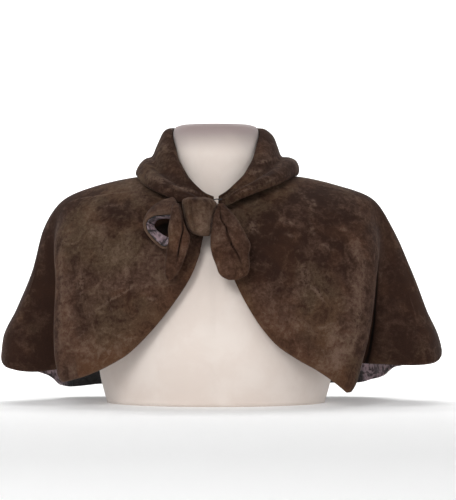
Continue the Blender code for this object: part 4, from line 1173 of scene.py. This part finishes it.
def stitch_tree(material):
    """Geometry nodes that set small beads of thread along the lines of a mesh."""
    tree = bpy.data.node_groups.new("slip_stitches", "GeometryNodeTree")
    tree.interface.new_socket(name="Lines", in_out="INPUT", socket_type="NodeSocketGeometry")
    for name, value in (("Spacing", 0.0045), ("Length", 0.0019), ("Thickness", 0.0004)):
        socket = tree.interface.new_socket(name=name, in_out="INPUT", socket_type="NodeSocketFloat")
        socket.default_value = value
    tree.interface.new_socket(name="Stitches", in_out="OUTPUT", socket_type="NodeSocketGeometry")
    given = node(tree, "NodeGroupInput").outputs
    line = node(tree, "GeometryNodeMeshToCurve", {"Mesh": given["Lines"]}).outputs["Curve"]
    line = node(tree, "GeometryNodeResampleCurve", {"Curve": line, "Length": given["Spacing"]},
                mode="LENGTH").outputs["Curve"]
    bead = node(tree, "GeometryNodeMeshUVSphere", {"Segments": 8, "Rings": 6, "Radius": 0.5}).outputs["Mesh"]
    size = node(tree, "ShaderNodeCombineXYZ", {"X": given["Length"], "Y": given["Thickness"],
                                               "Z": given["Thickness"]}).outputs[0]
    bead = node(tree, "GeometryNodeTransform", {"Geometry": bead, "Scale": size}).outputs["Geometry"]
    tangent = node(tree, "GeometryNodeInputTangent").outputs["Tangent"]
    turn = node(tree, "FunctionNodeAlignRotationToVector", {"Vector": tangent}, axis="X").outputs["Rotation"]
    slant = node(tree, "FunctionNodeRandomValue", {0: (-0.2, -0.3, -0.3), 1: (0.2, 0.3, 0.3), "Seed": 7},
                 data_type="FLOAT_VECTOR").outputs[0]
    slant = node(tree, "FunctionNodeEulerToRotation", {"Euler": slant}).outputs["Rotation"]
    turn = node(tree, "FunctionNodeRotateRotation", {"Rotation": turn, "Rotate By": slant},
                rotation_space="LOCAL").outputs["Rotation"]
    made = node(tree, "GeometryNodeInstanceOnPoints", {"Points": line, "Instance": bead, "Rotation": turn})
    made = node(tree, "GeometryNodeRealizeInstances", {"Geometry": made.outputs["Instances"]})
    made = node(tree, "GeometryNodeSetShadeSmooth", {"Geometry": made.outputs["Geometry"]})
    made = node(tree, "GeometryNodeSetMaterial", {"Geometry": made.outputs["Geometry"], "Material": material})
    given_out = node(tree, "NodeGroupOutput")
    tree.links.new(made.outputs["Geometry"], given_out.inputs["Stitches"])
    return tree


class CAPELET_OT_slip_stitches(bpy.types.Operator):
    """Sew the satin to the velvet with slip stitches along its edge"""
    bl_idname = "capelet.slip_stitches"
    bl_label = "Slip stitches"

    def execute(self, context):
        points, edges = [], []
        for line in STITCHED_LINES.values():
            edges += [(len(points) + i, len(points) + i + 1) for i in range(len(line) - 1)]
            points += line.tolist()
        mesh = bpy.data.meshes.new("slip_stitches")
        mesh.from_pydata(points, edges, [])
        obj = bpy.data.objects.new("slip_stitches", mesh)
        context.scene.collection.objects.link(obj)
        modifier = obj.modifiers.new("stitches", "NODES")
        modifier.node_group = stitch_tree(finish(context, "thread"))
        sockets = {item.name: item.identifier for item in modifier.node_group.interface.items_tree}
        modifier[sockets["Spacing"]] = context.scene.capelet_sizes.stitch
        baked = bpy.data.meshes.new_from_object(obj.evaluated_get(context.evaluated_depsgraph_get()))
        obj.modifiers.clear()
        obj.data = baked
        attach(obj, "root")
        return {"FINISHED"}


COLLAR_LEAN = -0.9  # how much darker than the panels the velvet of the collar is made
COLLAR_LENGTH, COLLAR_WIDTH, COLLAR_REACH, COLLAR_STEPS = 0.62, 0.125, 0.096, 400


def collar_line(angle):
    """Points across the collar at one angle: up the stand, over the roll and down the fall."""
    side_rows = LEFT_COLLAR if angle < 0 else RIGHT_COLLAR
    station = {name: float(table_curve(side_rows, COLLAR_COLUMNS, "angle", name, abs(angle)))
               for name in COLLAR_COLUMNS[1:]}
    neck = capelet_points(np.array([angle]), np.array([0.0]))[0]
    seam = np.array([np.hypot(*neck[:2]) - STAND_OUT, neck[2] + STAND_UP])
    roll = np.array([station["roll_r"], station["roll_z"]])
    fall = np.array([station["edge_r"], station["edge_z"]]) - roll
    length = float(np.linalg.norm(fall))
    down = fall / length
    across = np.array([-down[1], down[0]])
    top, crease, bulge = station["top"], station["crease"], station["bulge"]
    leaf = ((-0.02, -0.0035), (-0.035, 0.0), (0.04, 0.0034), (0.20, top), (0.38, 0.5 * (top + crease)),
            (0.57, crease), (0.68, 0.5 * (crease + bulge) + 0.0015), (0.79, bulge), (0.90, 0.85 * bulge),
            (0.98, 0.4 * bulge), (1.01, -0.1 * bulge), (0.97, -0.35 * bulge - 0.0005))
    leaf = [roll + down * length * s + across * out for s, out in leaf]
    return np.array([seam + (leaf[0] - seam) * share for share in (0.0, 0.33, 0.66)] + leaf)


class CAPELET_OT_collar(bpy.types.Operator):
    """Make the scarf collar, folded over round the neck from one end of the tie to the other"""
    bl_idname = "capelet.collar"
    bl_label = "Scarf collar"

    def execute(self, context):
        sizes, detail = context.scene.capelet_sizes, context.scene.capelet_detail
        half, spacing = sizes.collar / 2, detail.collar_spacing
        first, last = RIGHT_COLLAR[0][0], 360.0 - LEFT_COLLAR[0][0]
        angles = first + (last - first) * tight_ends(int(COLLAR_LENGTH / spacing), COLLAR_LENGTH, half, half)
        rows = tight_ends(int(COLLAR_WIDTH / spacing), COLLAR_WIDTH, half, half)
        profiles, run = [], np.linspace(0, 1, COLLAR_STEPS)
        for angle in angles:
            line = evenly(through(collar_line(float(wrapped(angle))), COLLAR_STEPS), COLLAR_STEPS)
            profiles.append(np.stack([np.interp(rows, run, line[:, i]) for i in (0, 1)], axis=1))
        reach, height = np.moveaxis(np.array(profiles), -1, 0)
        turn = np.radians(angles)[:, None]
        points = np.stack([reach * np.sin(turn), -reach * np.cos(turn), height], axis=-1)
        places = np.stack(np.broadcast_arrays(wrapped(angles)[:, None], rows[None, :]), axis=-1)
        scale = np.array([math.radians(COLLAR_REACH), COLLAR_WIDTH])
        out, rub = soft_lines(COLLAR_LINES, places, lambda here: scale)
        points = points + out[..., None] * grid_normals(points)
        normal = grid_normals(points)
        thickness = rounded(edge_distances(points)[1], half)[..., None]
        obj = make_shell("scarf_collar", points + thickness * normal, points - thickness * normal,
                         [finish(context, "velvet")], uv=cloth_map(points), rub=0.7 * rub,
                         lean=np.full(points.shape[:2], COLLAR_LEAN))
        stand_for(obj, "collar")
        return {"FINISHED"}


def tie_grid(rows, sides, rings, crease_width, lobes, gathers=()):
    """Rings down a piece of the tie: flat ovals with a crease along the face, one side of which may lie
    lower than the other."""
    row = table_rings(rows, TAIL_COLUMNS, rings)
    middle, half_width = (row["left"] + row["right"]) / 2, (row["right"] - row["left"]) / 2
    crease_at = (row["crease_x"] - middle) / half_width
    turn = 2 * math.pi * (np.arange(sides) + 0.5)[:, None] / sides
    across = np.sign(np.cos(turn)) * abs(np.cos(turn)) ** TIE_SQUARE
    depth = -np.sign(np.sin(turn)) * abs(np.sin(turn)) ** TIE_SQUARE
    across, depth = np.broadcast_to(across, (sides, rings)), np.broadcast_to(depth, (sides, rings))
    face = np.clip(-depth, 0, 1)
    near = np.exp(-(((across - crease_at) / crease_width) ** 2))
    started = np.clip(row["crease"] / 0.5, 0, 1)
    left = 1 / (1 + np.exp((across - crease_at) / 0.05))
    lower = (lobes[0] * left + lobes[1] * (1 - left)) * started
    sunk = row["crease"] * near + lower * (1 - near)
    # Painted shade along the crease.
    rub = -near * started * face
    down = np.linspace(0, 1, rings)[None, :]
    for at, width, deep, reach in gathers:
        fade = np.clip(1 - down / reach, 0, 1) ** 0.7 * np.clip(down / GATHER_START, 0, 1)
        fold = np.exp(-(((across - at) / width) ** 2)) * fade * face
        sunk = sunk + deep * fold
        # Painted shade in the gathers.
        rub = rub - 0.6 * fold
    depth = np.where(depth < 0, depth * (1 - np.minimum(sunk, 0.9) * face**0.3), depth)
    points = np.stack([middle + half_width * across, row["y"] + row["half_depth"] * depth,
                       np.broadcast_to(row["height"], (sides, rings))], axis=-1)
    return points, across, rub


class CAPELET_OT_knot_and_tails(bpy.types.Operator):
    """Make the padded crosspiece of the knot and the two padded tails"""
    bl_idname = "capelet.knot_and_tails"
    bl_label = "Knot and tails"

    def execute(self, context):
        detail = context.scene.capelet_detail
        for name, node_name, rows, crease, lobes, gathers, fill in (
            ("padded_knot", "knot", KNOT, 0.12, (0.0, 0.0), GATHERS, 0.6),
            ("padded_tail_left", "tail_left", LEFT_TAIL, 0.08, (0.0, 0.34), (), 0.5),
            ("padded_tail_right", "tail_right", RIGHT_TAIL, 0.06, (0.26, 0.0), (), 0.5),
        ):
            grid, across, rub = tie_grid(rows, detail.tie_sides, detail.tie_rings, crease, lobes, gathers)
            down = np.broadcast_to(np.linspace(0, 1, grid.shape[1]), across.shape)
            # The knot's lean value follows the painted shade of its gathers; the tails get a painted shadow
            # along their creases.
            if gathers:
                warm, lean = np.full(down.shape, KNOT_WARM), 0.15 + 1.2 * rub
            else:
                warm, lean = np.maximum(down - 0.15, 0), -0.45 - 2.6 * np.clip((-rub - 0.35) / 0.6, 0, 1)
            # Painted highlight along the sides of the knot and the tails.
            edge = np.exp(-(((1 - abs(across)) / 0.05) ** 2)) * 0.3
            values = {"rub": rub, "edge": edge, "warm": warm, "lean": lean}
            obj = make_tube(name, grid, [finish(context, "velvet")], tube_map(grid), values)
            stand_for(obj, node_name)
        return {"FINISHED"}


def drawn_in(ring, distance):
    """A flat ring drawn in by a distance."""
    direction = np.roll(ring, -1, axis=0) - np.roll(ring, 1, axis=0)
    direction /= np.linalg.norm(direction, axis=1)[:, None]
    return ring + distance * np.stack([-direction[:, 1], direction[:, 0]], axis=1)


def loop_band(near, far, bulge=0.0):
    """The bow's loop from its front ring to its back ring, bulging by so much between them."""
    shares = np.linspace(0, 1, LOOP_BANDS)
    outward = near - drawn_in(near, 1.0)
    flat = near[:, None] + (far - near)[:, None] * shares[None, :, None]
    flat = flat + bulge * outward[:, None] * np.sin(math.pi * shares)[None, :, None]
    y = LOOP_FRONT_Y + (LOOP_BACK_Y - LOOP_FRONT_Y) * shares
    return np.stack([flat[..., 0], np.broadcast_to(y, flat.shape[:2]), flat[..., 1]], axis=-1)


class CAPELET_OT_bow_loop(bpy.types.Operator):
    """Make the loop of the half bow and the satin drawn together in its eye"""
    bl_idname = "capelet.bow_loop"
    bl_label = "Bow loop"

    def execute(self, context):
        sizes = context.scene.capelet_sizes
        rings = through(LOOP, LOOP_SIDES, closed=True)
        front, back, eye = rings[:, 0:2], rings[:, 2:4], rings[:, 4:6]
        outer = loop_band(front, back, bulge=0.0012)
        inner = loop_band(drawn_in(front, sizes.velvet), drawn_in(eye, -(LOOP_SEAM + sizes.lining)))
        # Painted highlight along the loop's front rim.
        rim_highlight = np.zeros(outer.shape[:2])
        rim_highlight[:, :2] = 0.8
        velvet = make_shell("bow_loop_velvet", outer, inner, [finish(context, "velvet")], uv=cloth_map(outer),
                            edge=rim_highlight, ring=True)
        stand_for(velvet, "bow_loop")
        satin_out = loop_band(drawn_in(front, sizes.velvet + LOOP_SEAM), drawn_in(eye, -sizes.lining))
        satin_in = loop_band(drawn_in(front, sizes.velvet + LOOP_SEAM + sizes.lining), eye)
        turn = np.linspace(0, 2 * math.pi, LOOP_SIDES, endpoint=False)[:, None]
        share = np.linspace(0, 1, LOOP_BANDS)[None, :]
        wave = sum(size * np.sin(turn * count + start + lean * share)
                   for count, start, size, lean in LOOP_PLEATS)
        pleat = LOOP_PLEAT_DEPTH * np.clip(0.5 + 0.5 * wave, 0, 1)
        pleat = pleat * np.sin(math.pi * np.clip(share + 0.12, 0, 1)) ** 0.7
        inwards = (drawn_in(front, 1.0) - front)[:, None, :] * pleat[..., None]
        for grid in (satin_out, satin_in):
            grid[..., [0, 2]] += inwards
        # Painted shade at the front of the satin and in the hollows of the pleats.
        painted_hollow_shade = -0.6 * np.exp(-((share / 0.04) ** 2)) - 0.75 * np.clip(-1.4 * wave, 0, 1)
        satin = make_shell("bow_loop_satin", satin_out, satin_in, [finish(context, "satin")],
                           uv=cloth_map(satin_out), ring=True, lean=painted_hollow_shade)
        stand_for(satin, "lining_bow_loop")
        return {"FINISHED"}


class CAPELET_OT_cord_loop(bpy.types.Operator):
    """Make the cord loop that holds the collar together at the neck"""
    bl_idname = "capelet.cord_loop"
    bl_label = "Cord loop"

    def execute(self, context):
        radius = context.scene.capelet_sizes.cord / 2
        path = evenly(through(NECK_LOOP, 200), 60)
        forward = np.gradient(path, axis=0)
        forward /= np.linalg.norm(forward, axis=1)[:, None]
        first = np.cross(forward, (0.0, 1.0, 0.0))
        first /= np.linalg.norm(first, axis=1)[:, None]
        second = np.cross(forward, first)
        turn = 2 * math.pi * np.arange(CORD_SIDES)[:, None, None] / CORD_SIDES
        grid = path[None] + radius * (np.cos(turn) * first[None] + np.sin(turn) * second[None])
        around = np.broadcast_to(np.linspace(0, 2 * math.pi * radius, CORD_SIDES)[:, None], grid.shape[:2])
        uv = np.stack([around, along(grid, 1)], axis=-1)
        stand_for(make_tube("cord_loop", grid, [finish(context, "cord")], uv), "neck_loop")
        return {"FINISHED"}


class CAPELET_OT_bust_form(bpy.types.Operator):
    """Make the jersey-covered bust form"""
    bl_idname = "capelet.bust_form"
    bl_label = "Bust form"

    def execute(self, context):
        rows = table_rings(FORM, FORM_COLUMNS, FORM_RINGS)
        turn = 2 * math.pi * np.arange(FORM_SIDES)[:, None] / FORM_SIDES
        side, ahead = np.sin(turn), np.cos(turn)
        depth = np.where(ahead > 0, rows["front_y"], rows["back_y"])
        middle_z = np.where(ahead > 0, rows["front_z"], rows["back_z"])
        height = rows["side_z"] * side**2 + middle_z * ahead**2
        grid = np.stack([rows["side_x"] * side, -depth * ahead, height], axis=-1)
        uv = tube_map(grid)
        uv[..., 0] = uv[:, FORM_RINGS // 2, :1].copy()
        stand_for(make_tube("jersey_form", grid, [finish(context, "jersey")], uv), "bust_form")
        return {"FINISHED"}


# ---------------------------------------------------------------------------------------------
# Stage
# ---------------------------------------------------------------------------------------------

CAMERA_PLACE = (0.0152, -3.0, 0.193)
PICTURE_WIDTH, PIXEL = 456, 0.00127
SENSOR = 36.0
FLOOR_REACH, BACKDROP_CURVE, BACKDROP_TOP, BACKDROP_SIDES = 3.8, 0.9, 3.2, 96
LIGHTS = (
    # name, place, target, width, watts
    ("main_softbox", (-0.75, -2.7, 1.45), (0.0, 0.0, 0.18), 1.0, 36.0),
    ("side_softbox", (1.9, -1.9, 1.0), (0.0, 0.0, 0.18), 1.4, 4.0),
    ("backdrop_softbox", (0.0, 1.2, 2.6), (0.0, 3.8, 0.6), 2.6, 160.0),
)
SKY = 0.20
FLOOR_GLOW = 0.17
# Painted shade at the top of the neck: its colour and the heights over which it comes in.
NECK_SHADE, NECK_SHADE_HEIGHTS = (0.280, 0.215, 0.212, 1.0), (0.318, 0.352)
FORM_SIDES, FORM_RINGS = 144, 150


def make_floor(context):
    """A round floor that curves up into a backdrop on every side."""
    line = [(FLOOR_REACH + BACKDROP_CURVE * math.sin(a), BACKDROP_CURVE * (1 - math.cos(a)))
            for a in np.linspace(0, math.pi / 2, 24)]
    line += [(FLOOR_REACH + BACKDROP_CURVE, BACKDROP_TOP)]
    points = [(0.0, 0.0, 0.0)]
    for a in np.linspace(0, 2 * math.pi, BACKDROP_SIDES, endpoint=False):
        points += [(reach * math.cos(a), reach * math.sin(a), z) for reach, z in line]
    starts = [1 + len(line) * i for i in range(BACKDROP_SIDES)]
    faces = [(0, a, b) for a, b in zip(starts, starts[1:] + starts[:1])]
    faces += [(a + j, a + j + 1, b + j + 1, b + j) for a, b in zip(starts, starts[1:] + starts[:1])
              for j in range(len(line) - 1)]
    mesh = bpy.data.meshes.new("floor")
    mesh.from_pydata(points, [], faces)
    mesh.shade_smooth()
    mesh.materials.append(finish(context, "floor"))
    floor = bpy.data.objects.new("floor", mesh)
    context.scene.collection.objects.link(floor)


def make_lights(scene):
    """Soft square lights, and an even sky."""
    for name, place, target, width, watts in LIGHTS:
        light = bpy.data.lights.new(name, "AREA")
        light.shape = "SQUARE"
        light.size = width
        light.energy = watts
        lamp = bpy.data.objects.new(name, light)
        lamp.location = place
        lamp.rotation_euler = (Vector(target) - Vector(place)).to_track_quat("-Z", "Y").to_euler()
        scene.collection.objects.link(lamp)
    world = bpy.data.worlds.new("studio")
    world.use_nodes = True
    sky = world.node_tree.nodes["Background"]
    sky.inputs["Color"].default_value = (1.0, 1.0, 1.0, 1)
    sky.inputs["Strength"].default_value = SKY
    scene.world = world


class CAPELET_OT_stage(bpy.types.Operator):
    """Make the pale floor and backdrop, the soft lights and the camera"""
    bl_idname = "capelet.stage"
    bl_label = "Floor, lights and camera"

    def execute(self, context):
        scene = context.scene
        make_floor(context)
        make_lights(scene)
        camera = bpy.data.cameras.new("camera")
        camera.sensor_fit = "HORIZONTAL"
        camera.sensor_width = SENSOR
        camera.lens = SENSOR * -CAMERA_PLACE[1] / (PICTURE_WIDTH * PIXEL)
        camera.clip_end = 30.0
        eye = bpy.data.objects.new("camera", camera)
        eye.location = CAMERA_PLACE
        eye.rotation_euler = (math.pi / 2, 0.0, 0.0)
        scene.collection.objects.link(eye)
        scene.camera = eye
        scene.view_settings.view_transform = "Standard"
        return {"FINISHED"}


class CAPELET_PT_panel(bpy.types.Panel):
    """The pieces of the capelet, in the order that they are made"""
    bl_idname = "CAPELET_PT_panel"
    bl_label = "Velvet capelet"
    bl_space_type = "VIEW_3D"
    bl_region_type = "UI"
    bl_category = "Capelet"

    def draw(self, context):
        layout = self.layout
        for group in ("capelet_sizes", "capelet_colours", "capelet_detail"):
            box = layout.box()
            values = getattr(context.scene, group)
            for name in values.bl_rna.properties.keys():
                if name not in ("rna_type", "name"):
                    box.prop(values, name)
        for piece in PIECES:
            layout.operator(piece.bl_idname)


PIECES = (CAPELET_OT_stage, CAPELET_OT_bust_form, CAPELET_OT_back, CAPELET_OT_fronts, CAPELET_OT_back_lining,
          CAPELET_OT_slip_stitches, CAPELET_OT_collar, CAPELET_OT_knot_and_tails, CAPELET_OT_bow_loop,
          CAPELET_OT_cord_loop)
GROUPS = {"capelet_sizes": CapeletSizes, "capelet_colours": CapeletColours, "capelet_detail": CapeletDetail}


def register():
    for group in GROUPS.values():
        bpy.utils.register_class(group)
    for name, group in GROUPS.items():
        setattr(bpy.types.Scene, name, PointerProperty(type=group))
    for piece in (*PIECES, CAPELET_PT_panel):
        bpy.utils.register_class(piece)


def unregister():
    for piece in reversed((*PIECES, CAPELET_PT_panel)):
        bpy.utils.unregister_class(piece)
    for name, group in GROUPS.items():
        delattr(bpy.types.Scene, name)
        bpy.utils.unregister_class(group)


def main():
    register()
    for piece in PIECES:
        getattr(bpy.ops.capelet, piece.bl_idname.split(".")[1])()


if __name__ == "__main__":
    main()
